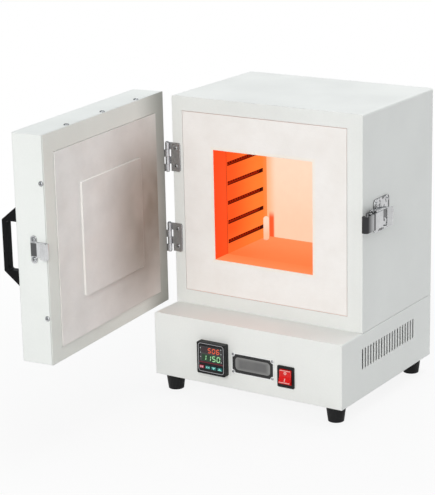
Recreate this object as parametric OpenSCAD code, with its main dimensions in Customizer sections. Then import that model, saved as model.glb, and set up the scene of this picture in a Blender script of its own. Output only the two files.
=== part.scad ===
// Bench kiln for jewellery: a side-hung door on a square casing, which stands on a deeper control base.
// Millimetres, +Z up, +X to the right, the front faces -Y.
// The origin is on the floor, under the middle of the base.

/* [Sheet metal] */
// Width of the base and of the casing
body_w = 315; // [305:1:340]
// Thickness of the steel sheet
sheet = 1.2; // [0.8:0.1:2]
// Outside radius of the folded edges
edge_r = 3; // [2.2:0.1:6]

/* [Base] */
// Depth of the base, front to back
base_d = 275; // [268:1:310]
// Height of the base
base_h = 96; // [90:1:130]
// Depth of the shelf in front of the casing
shelf_d = 60; // [58:1:66]

/* [Feet] */
// Height of a rubber foot
foot_h = 25; // [16:1:40]
// Diameter of a foot where it meets the base
foot_top_d = 29; // [26:1:36]
// Diameter of a foot on the floor
foot_floor_d = 23; // [20:1:26]
// Distance from the base's sides to a foot's axis
foot_inset = 21; // [19:1:40]
// Diameter of a foot screw's shank
foot_screw_d = 5; // [4:0.5:6]

/* [Vents] */
// Number of slots in each side of the base
vent_count = 20; // [8:1:24]
// Distance from slot to slot
vent_pitch = 8.24; // [6:0.1:8.4]
// Width of a slot
vent_w = 4.4; // [2:0.1:4.8]
// Height of a slot
vent_h = 31; // [20:1:36]
// Height of a slot's lower end above the base's bottom
vent_z = 42; // [30:1:48]

/* [Casing] */
// Height of the casing
casing_h = 314; // [310:1:340]
// Width of the casing's front border on the hinge side
border_left = 18; // [17:0.5:26]
// Width of the casing's front border on the latch side
border_right = 25; // [17:0.5:30]
// Height of the casing's front border above and below the board
border_h = 22; // [18:0.5:30]
// Thickness of the front board, which is the length of the throat
board_t = 34; // [28:1:38]
// Clearance between a board and the sheet round it
board_gap = 0.6; // [0.3:0.1:1]

/* [Chamber] */
// Width of the chamber
chamber_w = 165; // [140:1:170]
// Height of the chamber
chamber_h = 165; // [164:1:172]
// Depth of the chamber from the casing's front
chamber_d = 147.5; // [140:0.5:155]
// Offset of the chamber from the middle
chamber_x = -5; // [-8:0.5:4]
// Height of the chamber's floor above the casing's bottom
hearth_z = 74.5; // [70:0.5:80]
// Thickness of the rear insulation board
rear_board_t = 42; // [30:1:46]
// Air gap between the boards and the casing's sides
board_air = 4; // [3.5:0.5:6]

/* [Heating] */
// Thickness of a heater plate
plate_t = 22; // [20:1:26]
// Number of grooves in a heater plate
groove_count = 5; // [2:1:5]
// Distance from groove to groove
groove_pitch = 29.5; // [26:0.5:30]
// Height of the lowest groove's axis above the chamber's floor
groove_z = 18; // [16:0.5:20]
// Height of a groove's mouth
groove_mouth = 6.5; // [5:0.5:8]
// Diameter of the bore behind the mouth, which holds the coil
groove_bore_d = 13; // [12.2:0.1:14]
// Length of plate left behind a groove's rear end
groove_end = 9.5; // [8:0.5:14]
// Outer diameter of the heating coil
coil_d = 10.4; // [9.5:0.1:11]
// Diameter of the heating wire
wire_d = 2; // [1.6:0.1:2.2]
// Turns of the coil in one groove
coil_turns = 8; // [4:1:8]
// Diameter of the thermocouple's ceramic sheath
sheath_d = 8.5; // [6:0.5:9]
// Height of the sheath above the chamber's floor
sheath_h = 36; // [20:1:60]

/* [Door] */
// How much wider the door is than the casing
door_over = 7; // [4:0.5:9]
// How much higher the door is than the casing
door_over_h = 3; // [-2:0.5:6]
// Thickness of the door
door_t = 49; // [40:1:52]
// Gap between the door and the shelf
door_gap = 2.6; // [2.4:0.1:4]
// Angle of the door from closed, as it stands
door_open = 84.5; // [0:0.5:150]
// Thickness of the door's ceramic board
door_board_t = 26; // [20:1:32]
// How far the door's board stands in front of its frame
door_board_proud = 1.2; // [0.6:0.1:1.6]
// How far the raised middle stands in front of the board
plug_t = 3; // [1:0.1:3.4]
// Clearance between the raised middle and the chamber's mouth
plug_gap = 1.8; // [1:0.1:4]
// Depth of the frame's rim inside the pan
rim_d = 12; // [10.5:0.5:16]

/* [Hinges] */
// Distance from the casing's side to the hinge axis
pin_out = 7.8; // [7:0.1:12]
// Distance from the casing's front to the hinge axis
pin_front = 3.2; // [3.1:0.1:3.5]
// Distance from the hinge axis to the door's edge
door_edge = 4; // [3.6:0.1:5]
// Height of a hinge
hinge_h = 43; // [36:1:60]
// Distance between the middles of the two hinges
hinge_span = 122; // [90:1:200]
// Diameter of a knuckle
knuckle_d = 6.4; // [6:0.1:6.8]
// Number of knuckles on a hinge
knuckle_count = 4; // [4:2:6]
// Diameter of the hinge pin
pin_d = 3.2; // [2.6:0.1:3.6]
// Running clearance between pin and knuckle
pin_gap = 0.08; // [0.05:0.01:0.1]
// Thickness of a hinge leaf
leaf_t = 2; // [1.6:0.1:2.2]
// Width of the leaf on the casing, from the axis
casing_leaf_w = 20.8; // [19:0.1:23]
// Width of the leaf on the door, from the axis
door_leaf_w = 27; // [22:0.5:34]
// Distance between a leaf's two screws
leaf_screw_span = 27; // [24:1:44]

/* [Handle] */
// Length of the handle where it meets the door
handle_l = 111; // [98:1:130]
// Length of the grip's outer face
grip_l = 75; // [60:1:90]
// Length of the finger gap
finger_l = 69; // [56:1:76]
// How far the handle stands out from the door
handle_out = 26; // [24:1:40]
// Thickness of the grip
grip_t = 6.5; // [5:0.5:9]
// Width of the handle
handle_w = 12; // [10:1:18]
// Distance from the door's free edge to the middle of the handle
handle_in = 12; // [11:1:60]
// Height of the handle's middle above the door's middle
handle_rise = 0.5; // [-30:0.5:20]

/* [Latch] */
// Height of the latch above the casing's bottom
latch_z = 163; // [130:1:200]
// Distance from the casing's side to the latch's two axes
latch_out = 6; // [5.4:0.1:6.4]
// Distance from the casing's front to the lever's axis
lever_y = 15; // [14:0.5:30]
// Distance between the two axes of the latch
toggle_r = 11; // [10:0.5:12]
// Diameter of the two latch pins
latch_pin_d = 3; // [2.4:0.1:3.2]
// Thickness of the latch's plates
latch_t = 1.5; // [1.2:0.1:1.6]
// Height of the lever, over its two ears
lever_h = 27.6; // [26:0.2:32]
// Distance from the claw's axis to the end of the lever
lever_l = 24; // [23:1:45]
// Height of the wide part of the latch's base
latch_base_h = 48; // [46:1:60]
// Length of the wide part of the latch's base
latch_base_l = 45; // [30:1:50]
// How far the lip of the keeper stands out from the door's edge
lip_out = 8.5; // [7.8:0.1:8.7]
// Length of the keeper's lip
lip_l = 11; // [9:0.5:12]
// Height of the keeper's lip
lip_h = 21.5; // [18:0.5:23]
// Clearance between the claw and the keeper
claw_gap = 1; // [0.6:0.1:1.4]

/* [Controls] */
// Side of the controller's square bezel
bezel_w = 48; // [46:1:50]
// How far the bezel stands out from the base
bezel_out = 10; // [6:0.5:12]
// Depth of the controller's case behind the panel
case_d = 70; // [50:1:90]
// Position of the controller across the base
bezel_x = -53.4; // [-58:0.1:-50]
// Height of the controls' middle above the base's bottom
controls_z = 42.6; // [36:0.1:52]
// Travel of a key
key_travel = 0.8; // [0.4:0.1:1]
// Width of the bare plate
plate_w = 70.6; // [60:0.2:74]
// Height of the bare plate
plate_h = 31; // [24:0.5:36]
// Position of the bare plate across the base
plate_x = 12.6; // [10:0.1:14]
// Width of the rocker switch's bezel
switch_w = 27.5; // [26:0.5:32]
// Height of the rocker switch's bezel
switch_h = 32; // [30:0.5:36]
// Position of the rocker switch across the base
switch_x = 67.6; // [66:0.1:80]
// Angle between the rocker's two positions
rocker_travel = 20; // [16:1:28]

/* [Hidden] */

$fn = 48;
eps = 0.01;

// Planes and lines that the pieces share
front_y = -base_d / 2;
back_y = base_d / 2;
casing_y = front_y + shelf_d;
base_z = foot_h;
shelf_z = base_z + base_h;
casing_top = shelf_z + casing_h;
inner_w = body_w - 2 * sheet;
side_x = body_w / 2;
board_w = body_w - border_left - border_right;
board_h = casing_h - 2 * border_h;
board_x = (border_left - border_right) / 2;
door_w = body_w + door_over;
door_h = casing_h + door_over_h;
hearth_top = shelf_z + hearth_z;
board_bottom = shelf_z + border_h;
board_back_y = casing_y + board_t;
chamber_back_y = casing_y + chamber_d;
rear_board_y = chamber_back_y + rear_board_t;
mouth_z = hearth_top + chamber_h / 2;
seat_gap = 0.2;

// Pan-head screw shared by the door's edges, the leaves, the keeper and the covers
screw_d = 4;
screw_head_d = 7.4;
screw_head_h = 1.8;
screw_grip = 6;
screw_hole_gap = 0.15;

module box(x0, x1, y0, y1, z0, z1)
    translate([x0, y0, z0]) cube([x1 - x0, y1 - y0, z1 - z0]);

// A cylinder along +Y that starts at y
module rod_y(x, y, z, d, l)
    translate([x, y, z]) rotate([-90, 0, 0]) cylinder(d = d, h = l);

// A cylinder along +X that starts at x
module rod_x(x, y, z, d, l)
    translate([x, y, z]) rotate([0, 90, 0]) cylinder(d = d, h = l);

// Rectangle from its lower left corner, with round corners
module round_rect(w, h, r) {
    translate([r, 0]) square([w - 2 * r, h]);
    translate([0, r]) square([w, h - 2 * r]);
    for (x = [r, w - r], y = [r, h - r]) translate([x, y]) circle(r);
}

// Rectangle that stands on y = 0, with only its two upper corners round
module arch_rect(w, h, r) {
    translate([-w / 2, 0]) square([w, h - r]);
    translate([r - w / 2, 0]) square([w - 2 * r, h]);
    for (side = [-1, 1]) translate([side * (w / 2 - r), h - r]) circle(r);
}

// The upright profile above, drawn along Y
module arch_along_y(w, h, r, y0, y1, z)
    translate([0, y1, z]) rotate([90, 0, 0]) linear_extrude(y1 - y0) arch_rect(w, h, r);

// Plate in the XZ plane with round corners, from y0 to y1
module plate_xz(x, z, w, h, r, y0, y1)
    translate([x - w / 2, y1, z - h / 2]) rotate([90, 0, 0]) linear_extrude(y1 - y0) round_rect(w, h, r);

// Pan head along +Z with its shank below, seated at z = 0
module pan_screw(d = screw_d, head_d = screw_head_d, head_h = screw_head_h, grip = screw_grip) {
    dome_r = (head_d * head_d / 4 + head_h * head_h) / (2 * head_h);
    intersection() {
        cylinder(d = head_d, h = head_h);
        translate([0, 0, head_h - dome_r]) sphere(dome_r);
    }
    translate([0, 0, -grip]) cylinder(d = d, h = grip + eps);
}

// Base
vent_y0 = -(vent_count - 1) * vent_pitch / 2 + 2;

module vent_cuts()
    for (side = [-1, 1], i = [0 : vent_count - 1])
        translate([side * side_x - side * sheet / 2 - sheet, vent_y0 + i * vent_pitch, base_z + vent_z])
            rotate([90, 0, 90]) linear_extrude(2 * sheet)
                translate([-vent_w / 2, 0]) round_rect(vent_w, vent_h, vent_w / 2 - eps);

controls_row = base_z + controls_z;
bezel_z = controls_row;
plate_z = controls_row - 2.1;
switch_z = controls_row - 8.4;
case_w = bezel_w - 3.4;
switch_body_w = switch_w - 5;
switch_body_h = switch_h - 4;

module control_cutouts() {
    box(bezel_x - case_w / 2 - seat_gap, bezel_x + case_w / 2 + seat_gap, front_y - 1, front_y + sheet + 1,
        bezel_z - case_w / 2 - seat_gap, bezel_z + case_w / 2 + seat_gap);
    box(switch_x - switch_body_w / 2 - seat_gap, switch_x + switch_body_w / 2 + seat_gap,
        front_y - 1, front_y + sheet + 1,
        switch_z - switch_body_h / 2 - seat_gap, switch_z + switch_body_h / 2 + seat_gap);
    for (p = plate_screw_points())
        rod_y(p[0], front_y - 1, p[1], plate_screw_d + 2 * screw_hole_gap, sheet + 2);
}

sheath_x = chamber_x - chamber_w / 2 + 8;
sheath_y = chamber_back_y - 16.5;
sheath_gap = 0.3;

module base_shell() color("whitesmoke") {
    difference() {
        arch_along_y(body_w, base_h, edge_r, front_y, back_y, base_z);
        arch_along_y(inner_w, base_h - sheet, edge_r - sheet, front_y + sheet, back_y + 1, base_z);
        box(-inner_w / 2, inner_w / 2, front_y + sheet, back_y + 1, base_z - 1, base_z + edge_r);
        vent_cuts();
        control_cutouts();
        translate([sheath_x, sheath_y, shelf_z - sheet - 1])
            cylinder(d = sheath_d + 2 * sheath_gap, h = sheet + 2);
    }
}

// Bottom plate, folded up at its sides
floor_fold = 12;

module base_floor() color("gainsboro") {
    w = inner_w - 2 * seat_gap;
    difference() {
        union() {
            box(-w / 2, w / 2, front_y + sheet + seat_gap, back_y, base_z, base_z + sheet);
            for (side = [-1, 1])
                box(side * w / 2 - (side > 0 ? sheet : 0), side * w / 2 + (side > 0 ? 0 : sheet),
                    front_y + sheet + edge_r, back_y - sheet - 1, base_z, base_z + floor_fold);
        }
        for (p = foot_points())
            translate([p[0], p[1], base_z - 1])
                cylinder(d = foot_screw_d + 2 * screw_hole_gap, h = sheet + 2);
    }
}

gland_in = 47.5;
gland_x = side_x - gland_in;
gland_up = 32;
gland_z = base_z + gland_up;
gland_d = 12;
cord_d = 7.6;

module base_back() color("whitesmoke") {
    w = inner_w - 2 * seat_gap;
    difference() {
        union() {
            box(-w / 2, w / 2, back_y - sheet, back_y, base_z + sheet + seat_gap, shelf_z - sheet - edge_r);
            box(-w / 2 + edge_r, w / 2 - edge_r, back_y - sheet, back_y, shelf_z - sheet - edge_r - eps,
                shelf_z - sheet - seat_gap);
        }
        rod_y(gland_x, back_y - sheet - 1, gland_z, gland_d + 2 * seat_gap, sheet + 2);
        for (x = base_back_screw_x())
            rod_y(x, back_y - sheet - 1, base_z + base_h / 2, screw_d + 2 * screw_hole_gap, sheet + 2);
    }
}

// Strain relief bush for a mains lead, ribbed outside, with a clear bore
gland_l = 30;

module cable_gland() color("dimgray") {
    rib_count = 5;
    rib_pitch = 4;
    translate([gland_x, back_y, gland_z]) rotate([-90, 0, 0]) difference() {
        union() {
            cylinder(d = gland_d + 5, h = 3);
            translate([0, 0, -sheet - 4]) cylinder(d = gland_d, h = sheet + 4 + eps);
            translate([0, 0, -sheet - 4]) cylinder(d = gland_d + 4, h = 4 - seat_gap);
            cylinder(d1 = gland_d, d2 = cord_d + 3, h = gland_l);
            for (i = [1 : rib_count])
                translate([0, 0, 3 + i * rib_pitch]) cylinder(d = gland_d + 1.6 - i * 0.5, h = 1.6);
        }
        translate([0, 0, -sheet - 5]) cylinder(d = cord_d, h = gland_l + sheet + 6);
    }
}

// Feet
function foot_points() = [for (y = [front_y + foot_inset, back_y - foot_inset], x = [-1, 1])
    [x * (side_x - foot_inset), y]];
foot_bore_d = foot_screw_d + 1;
foot_head_d = 10;
foot_head_h = 3;
foot_web = 8;

module foot(i) color([0.12, 0.12, 0.12])
    translate([foot_points()[i][0], foot_points()[i][1], 0]) difference() {
        union() {
            cylinder(d1 = foot_floor_d, d2 = foot_top_d, h = foot_h - 2);
            translate([0, 0, foot_h - 2 - eps]) cylinder(d = foot_top_d, h = 2 + eps);
        }
        translate([0, 0, -1]) cylinder(d = foot_bore_d, h = foot_h + 2);
        translate([0, 0, -1]) cylinder(d = foot_head_d + 2, h = foot_h - foot_web + 1);
    }

module foot_screws() color("silver")
    for (p = foot_points()) translate([p[0], p[1], 0]) {
        translate([0, 0, foot_h - foot_web - foot_head_h]) cylinder(d = foot_head_d, h = foot_head_h);
        translate([0, 0, foot_h - foot_web - eps]) cylinder(d = foot_screw_d, h = foot_web + sheet + 7);
        translate([0, 0, base_z + sheet]) difference() {
            cylinder(d = foot_screw_d * 1.8, h = 4, $fn = 6);
            translate([0, 0, -1]) cylinder(d = foot_screw_d - 1, h = 6);
        }
    }

// Casing
module casing_shell() color("whitesmoke") {
    cavity_r = edge_r - sheet;
    difference() {
        arch_along_y(body_w, casing_h, edge_r, casing_y, back_y, shelf_z);
        arch_along_y(inner_w, casing_h - 2 * sheet, cavity_r, casing_y + sheet, back_y + 1, shelf_z + sheet);
        box(board_x - board_w / 2 - board_gap, board_x + board_w / 2 + board_gap,
            casing_y - 1, casing_y + sheet + 1, board_bottom - board_gap, board_bottom + board_h + board_gap);
        translate([sheath_x, sheath_y, shelf_z - 1]) cylinder(d = sheath_d + 2 * sheath_gap, h = sheet + 2);
        for (p = rivet_points())
            rod_x(side_x - sheet - 1, p[0], p[1], rivet_d + 2 * screw_hole_gap, sheet + 2);
        for (p = casing_leaf_screw_points())
            rod_y(p[0], casing_y - 1, p[1], leaf_screw_d + 2 * screw_hole_gap, sheet + 2);
    }
}

function back_screw_points() = [for (x = [-1, 0, 1], z = [-1, 0, 1]) if (x != 0 || z != 0)
    [x * (inner_w / 2 - 12), shelf_z + casing_h / 2 + z * (casing_h / 2 - 14)]];
function base_back_screw_x() = [-inner_w / 2 + 12, inner_w / 2 - 12];

module casing_back() color("whitesmoke") {
    w = inner_w - 2 * seat_gap;
    h = casing_h - 2 * sheet - 2 * seat_gap;
    difference() {
        plate_xz(0, shelf_z + casing_h / 2, w, h, edge_r, back_y - sheet, back_y);
        for (p = back_screw_points())
            rod_y(p[0], back_y - sheet - 1, p[1], screw_d + 2 * screw_hole_gap, sheet + 2);
    }
}

module cover_screws() color("silver") {
    for (p = back_screw_points()) translate([p[0], back_y, p[1]]) rotate([-90, 0, 0]) pan_screw();
    for (x = base_back_screw_x())
        translate([x, back_y, base_z + base_h / 2]) rotate([-90, 0, 0]) pan_screw();
}

// Insulation
module front_board() color([0.96, 0.94, 0.93]) difference() {
    box(board_x - board_w / 2, board_x + board_w / 2, casing_y, board_back_y,
        board_bottom, board_bottom + board_h);
    box(chamber_x - chamber_w / 2, chamber_x + chamber_w / 2, casing_y - 1, board_back_y + 1,
        hearth_top, hearth_top + chamber_h);
}

module full_board(z0, z1)
    box(board_air - inner_w / 2, inner_w / 2 - board_air, board_back_y, rear_board_y, z0, z1);

module hearth_board() color([1, 0.72, 0.5]) difference() {
    full_board(shelf_z + sheet, hearth_top);
    translate([sheath_x, sheath_y, shelf_z]) cylinder(d = sheath_d + 2 * sheath_gap, h = hearth_z + 1);
}

module roof_board() color([1, 0.72, 0.5])
    full_board(hearth_top + chamber_h, casing_top - sheet - edge_r);

plate_out = chamber_w / 2 + plate_t;

module side_board(side) color([0.95, 0.93, 0.9]) {
    inner = chamber_x + side * plate_out;
    outer = side * (inner_w / 2 - board_air);
    box(min(inner, outer), max(inner, outer), board_back_y, chamber_back_y,
        hearth_top, hearth_top + chamber_h);
}

module rear_board() color([1, 0.85, 0.75]) difference() {
    box(board_air - inner_w / 2, inner_w / 2 - board_air, chamber_back_y, rear_board_y,
        hearth_top, hearth_top + chamber_h);
    for (side = [-1, 1], z = lead_heights())
        rod_y(coil_lead_x(side), chamber_back_y - 1, z, lead_bore_d, rear_board_t + 2);
}

// Heater plates: round grooves with a narrower mouth, and channels behind for the wire between them
coil_r = (coil_d - wire_d) / 2;
groove_depth = groove_mouth + 2;
lead_bore_d = wire_d + 3;
channel_w = wire_d + 3;
groove_y0 = board_back_y + 3;
groove_y1 = chamber_back_y - groove_end;
coil_y0 = groove_y0 + wire_d + 1;
coil_y1 = groove_y1 - wire_d - 1;
function groove_height(i) = hearth_top + groove_z + i * groove_pitch;
function groove_axis_x(side) = chamber_x + side * (chamber_w / 2 + groove_depth);
function coil_lead_x(side) = groove_axis_x(side) + side * coil_r;
return_z = groove_height(0) - groove_pitch / 2 + 2;
function lead_heights() = [groove_height(groove_count - 1), return_z];

module heater_plate(side) color([1, 0.45, 0.15]) {
    face_x = chamber_x + side * chamber_w / 2;
    back_x = chamber_x + side * plate_out;
    axis_x = groove_axis_x(side);
    channel_x = coil_lead_x(side) - side * channel_w / 2;
    difference() {
        box(min(face_x, back_x), max(face_x, back_x), board_back_y, chamber_back_y,
            hearth_top, hearth_top + chamber_h);
        for (i = [0 : groove_count - 1]) {
            rod_y(axis_x, groove_y0, groove_height(i), groove_bore_d, groove_y1 - groove_y0);
            box(min(face_x - side, axis_x), max(face_x - side, axis_x), groove_y0, groove_y1,
                groove_height(i) - groove_mouth / 2, groove_height(i) + groove_mouth / 2);
        }
        for (i = [0 : groove_count - 1]) {
            at_front = (groove_count - 1 - i) % 2 == 0;
            y = at_front ? coil_y0 : coil_y1;
            low = i == 0 ? return_z : groove_height(i - 1);
            box(min(channel_x, back_x + side), max(channel_x, back_x + side),
                y - channel_w / 2, y + channel_w / 2, low - channel_w / 2, groove_height(i));
        }
        return_y = (groove_count - 1) % 2 == 0 ? coil_y0 : coil_y1;
        box(min(channel_x, back_x + side), max(channel_x, back_x + side),
            return_y - channel_w / 2, chamber_back_y + 1, return_z - channel_w / 2, return_z + channel_w / 2);
        box(min(channel_x, back_x + side), max(channel_x, back_x + side),
            coil_y1 - channel_w / 2, chamber_back_y + 1,
            groove_height(groove_count - 1) - channel_w / 2, groove_height(groove_count - 1) + channel_w / 2);
    }
}

// One unbroken wire a side: in from the rear at the top, along the grooves in turn, and out again below.
// Each entry is a point and the direction from the coil's axis to the wire.
coil_rings = 8;
lead_end_y = rear_board_y + 16;

function run_points(side, i) = [
    let (backwards = (groove_count - 1 - i) % 2 == 0)
    for (k = [0 : coil_turns * coil_rings])
        let (a = 360 * k / coil_rings, t = k / (coil_turns * coil_rings))
        [[groove_axis_x(side) + side * coil_r * cos(a),
          backwards ? coil_y1 + (coil_y0 - coil_y1) * t : coil_y0 + (coil_y1 - coil_y0) * t,
          groove_height(i) - coil_r * sin(a)],
         [side * cos(a), 0, -sin(a)]]];
function wire_points(side) = [
    [[coil_lead_x(side), lead_end_y, groove_height(groove_count - 1)], [side, 0, 0]],
    for (i = [groove_count - 1 : -1 : 0]) each run_points(side, i),
    [[coil_lead_x(side), groove_count % 2 == 1 ? coil_y0 : coil_y1, return_z], [side, 0, 0]],
    [[coil_lead_x(side), lead_end_y, return_z], [side, 0, 0]]];

// Least distance between the wire's surfaces, leaving out neighbours along the wire
function least_gap(p, skip) = min([for (i = [0 : len(p) - 1], j = [i + skip : 1 : len(p) - 1])
    norm(p[i][0] - p[j][0])]) - wire_d;

module wire(path, sides = 6) {
    last = len(path) - 1;
    rings = [for (i = [0 : last])
        let (t0 = path[min(i + 1, last)][0] - path[max(i - 1, 0)][0], t = t0 / norm(t0),
             n0 = path[i][1] - (path[i][1] * t) * t, n = n0 / norm(n0), b = cross(t, n))
        for (k = [0 : sides - 1])
            path[i][0] + wire_d / 2 * (cos(360 * k / sides) * n + sin(360 * k / sides) * b)];
    faces = [
        for (i = [0 : last - 1], k = [0 : sides - 1])
            let (a = i * sides + k, b = i * sides + (k + 1) % sides)
                each [[a, a + sides, b], [b, a + sides, b + sides]],
        for (k = [1 : sides - 2])
            each [[0, k, k + 1], [last * sides, last * sides + k + 1, last * sides + k]]];
    polyhedron(points = rings, faces = faces, convexity = 10);
}

echo(least_coil_gap = least_gap(wire_points(1), 5));

module heating_coil(side) color([0.75, 0.3, 0.12]) wire(wire_points(side));

// Ceramic blocks behind the rear board, which the wires' ends pass through
terminal_w = 24;
terminal_t = 12;

module coil_terminals() color([0.9, 0.88, 0.82])
    for (side = [-1, 1], z = lead_heights()) difference() {
        union() {
            translate([coil_lead_x(side) - terminal_w / 2, rear_board_y + terminal_t, z - terminal_w / 2])
                rotate([90, 0, 0]) linear_extrude(terminal_t) round_rect(terminal_w, terminal_w, 3);
            rod_y(coil_lead_x(side), rear_board_y + terminal_t - eps, z, 12, 2);
        }
        rod_y(coil_lead_x(side), rear_board_y - 1, z, wire_d + 1, terminal_t + 4);
        for (k = [-1, 1]) rod_y(coil_lead_x(side) + k * 8, rear_board_y - 1, z - k * 8, 3.4, terminal_t + 2);
    }

// Upright ceramic sheath with a domed end, and its connection head below the shelf
module thermocouple() color([0.98, 0.95, 0.9]) {
    head_d = 22;
    head_h = 14;
    translate([sheath_x, sheath_y, shelf_z - sheet - head_h]) cylinder(d = head_d, h = head_h);
    translate([sheath_x, sheath_y, shelf_z - sheet - 1])
        cylinder(d = sheath_d, h = sheet + 1 + hearth_z + sheath_h - sheath_d / 2);
    translate([sheath_x, sheath_y, hearth_top + sheath_h - sheath_d / 2]) sphere(d = sheath_d);
}

// Power parts in the base
sink_in = 65.5;
sink_x = side_x - sink_in;
sink_y = -20;
sink_w = 60;
sink_l = 70;
sink_base_t = 6;
sink_fin_h = 22;
sink_fin_t = 2;
sink_fins = 8;

module heat_sink() color("silver") translate([sink_x - sink_w / 2, sink_y + sink_l / 2, base_z + sheet]) {
    rotate([90, 0, 0]) linear_extrude(sink_l) {
        translate([0, sink_fin_h]) square([sink_w, sink_base_t]);
        for (i = [0 : sink_fins - 1])
            translate([i * (sink_w - sink_fin_t) / (sink_fins - 1), 0])
                square([sink_fin_t, sink_fin_h + eps]);
    }
}

module relay() color([0.2, 0.2, 0.22]) {
    w = 45;
    l = 58;
    h = 22;
    z = base_z + sheet + sink_fin_h + sink_base_t;
    difference() {
        translate([sink_x, sink_y, z]) linear_extrude(h) translate([-w / 2, -l / 2]) round_rect(w, l, 3);
        for (y = [-1, 1]) translate([sink_x, sink_y + y * (l / 2 - 6), z + 3]) {
            translate([-w / 2 - 1, -7, 6]) cube([w + 2, 14, h]);
            translate([0, 0, -4]) cylinder(d = 4.4, h = h);
        }
    }
}

// Controller
case_x0 = bezel_x - case_w / 2;
window_w = 38;
window_h = 23;
window_t = 1.2;
window_z = bezel_z + 6.5;
bezel_y = front_y - bezel_out;
key_w = 8;
key_h = 4.6;
key_gap = 0.3;
key_pitch = 10.3;
key_proud = 1;
key_z = bezel_z - 13.2;
key_well = 3;
function key_x(i) = bezel_x + (i - 1.5) * key_pitch;

module controller_case() color([0.1, 0.1, 0.1]) difference() {
    union() {
        plate_xz(bezel_x, bezel_z, bezel_w, bezel_w, 2, bezel_y, front_y);
        box(case_x0, case_x0 + case_w, front_y - eps, front_y + case_d,
            bezel_z - case_w / 2, bezel_z + case_w / 2);
    }
    plate_xz(bezel_x, window_z, window_w + 2 * key_gap, window_h + 2 * key_gap, 1.5,
        bezel_y - 1, bezel_y + window_t);
    for (i = [0 : 3])
        box(key_x(i) - key_w / 2 - key_gap, key_x(i) + key_w / 2 + key_gap, bezel_y - 1, bezel_y + key_well,
            key_z - key_h / 2 - key_gap, key_z + key_h / 2 + key_gap);
}

module controller_window() color([0.05, 0.07, 0.06])
    plate_xz(bezel_x, window_z, window_w, window_h, 1.2, bezel_y + 0.2, bezel_y + window_t);

module controller_key(i) color(i == 0 ? [0.85, 0.4, 0.4] : [0.1, 0.55, 0.5])
    plate_xz(key_x(i), key_z, key_w, key_h, 0.8, bezel_y - key_proud, bezel_y + key_well - key_travel - 0.3);

// Clamp round the case, drawn up against the back of the front sheet
clamp_rim = 4.5;
clamp_t = 6;
clamp_arm_l = 30;
clamp_arm_w = 16;

module controller_clamp() color([0.15, 0.15, 0.15]) {
    clamp_w = case_w + 2 * clamp_rim;
    clamp_y = front_y + sheet;
    difference() {
        union() {
            plate_xz(bezel_x, bezel_z, clamp_w, clamp_w, clamp_rim / 2, clamp_y, clamp_y + clamp_t);
            box(bezel_x - case_w / 2 - clamp_rim / 2, bezel_x + case_w / 2 + clamp_rim / 2,
                clamp_y, clamp_y + clamp_arm_l, bezel_z - clamp_arm_w / 2, bezel_z + clamp_arm_w / 2);
        }
        box(case_x0 - seat_gap, case_x0 + case_w + seat_gap, clamp_y - 1, clamp_y + clamp_arm_l + 1,
            bezel_z - case_w / 2 - seat_gap, bezel_z + case_w / 2 + seat_gap);
    }
}

// Bare plate with a sunk middle, and its four screws
plate_screw_d = 2.4;
bare_plate_t = 1.6;
plate_rim = 2.4;
function plate_screw_points() = [for (x = [-1, 1], z = [-1, 1])
    [plate_x + x * (plate_w / 2 - plate_rim), plate_z + z * (plate_h / 2 - plate_rim)]];

module bare_plate() color([0.35, 0.35, 0.36]) difference() {
    plate_xz(plate_x, plate_z, plate_w, plate_h, 2.4, front_y - bare_plate_t, front_y);
    plate_xz(plate_x, plate_z, plate_w - 4 * plate_rim, plate_h - 4 * plate_rim, 4,
        front_y - bare_plate_t - 1, front_y - bare_plate_t / 2);
    for (p = plate_screw_points())
        rod_y(p[0], front_y - bare_plate_t - 1, p[1], plate_screw_d + 2 * screw_hole_gap, bare_plate_t + 2);
}

module plate_screws() color("silver")
    for (p = plate_screw_points())
        translate([p[0], front_y - bare_plate_t, p[1]]) rotate([90, 0, 0])
            pan_screw(plate_screw_d, 4.2, 1, bare_plate_t + sheet + 3);

// Rocker switch
switch_flange = 2;
switch_depth = 20;
rocker_w = switch_w - 8.5;
rocker_r = (switch_h - 9) / 2;
rocker_gap = 0.35;
rocker_axis_y = front_y + 1;
rocker_pivot_d = 3;
rocker_stub = 1;

module switch_bezel() color([0.1, 0.1, 0.1]) difference() {
    union() {
        plate_xz(switch_x, switch_z, switch_w, switch_h, 2, front_y - switch_flange, front_y);
        box(switch_x - switch_body_w / 2, switch_x + switch_body_w / 2, front_y - eps, front_y + switch_depth,
            switch_z - switch_body_h / 2, switch_z + switch_body_h / 2);
    }
    box(switch_x - rocker_w / 2 - rocker_gap, switch_x + rocker_w / 2 + rocker_gap,
        front_y - switch_flange - 1, rocker_axis_y + rocker_r + rocker_gap,
        switch_z - rocker_r - rocker_gap, switch_z + rocker_r + rocker_gap);
    rod_x(switch_x - rocker_w / 2 - rocker_stub - 0.3, rocker_axis_y, switch_z, rocker_pivot_d + 2 * pin_gap,
        rocker_w + 2 * rocker_stub + 0.6);
}

// The rocker's side view: a shallow V in front, arcs at both ends, all round its pivot
module rocker_profile() {
    apex = 4.6;
    tip = rocker_r + 1;
    rise = tip * tan(rocker_travel / 2);
    intersection() {
        circle(rocker_r);
        polygon([[-apex, 0], [-apex - rise, tip], [4, tip], [6, 0], [4, -tip], [-apex - rise, -tip]]);
    }
}

module switch_rocker() color([0.85, 0.1, 0.08])
    translate([switch_x, rocker_axis_y, switch_z]) rotate([-rocker_travel / 2, 0, 0]) {
        translate([-rocker_w / 2, 0, 0]) rotate([90, 0, 90]) linear_extrude(rocker_w) rocker_profile();
        rod_x(-rocker_w / 2 - rocker_stub, 0, 0, rocker_pivot_d, rocker_w + 2 * rocker_stub);
    }

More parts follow.
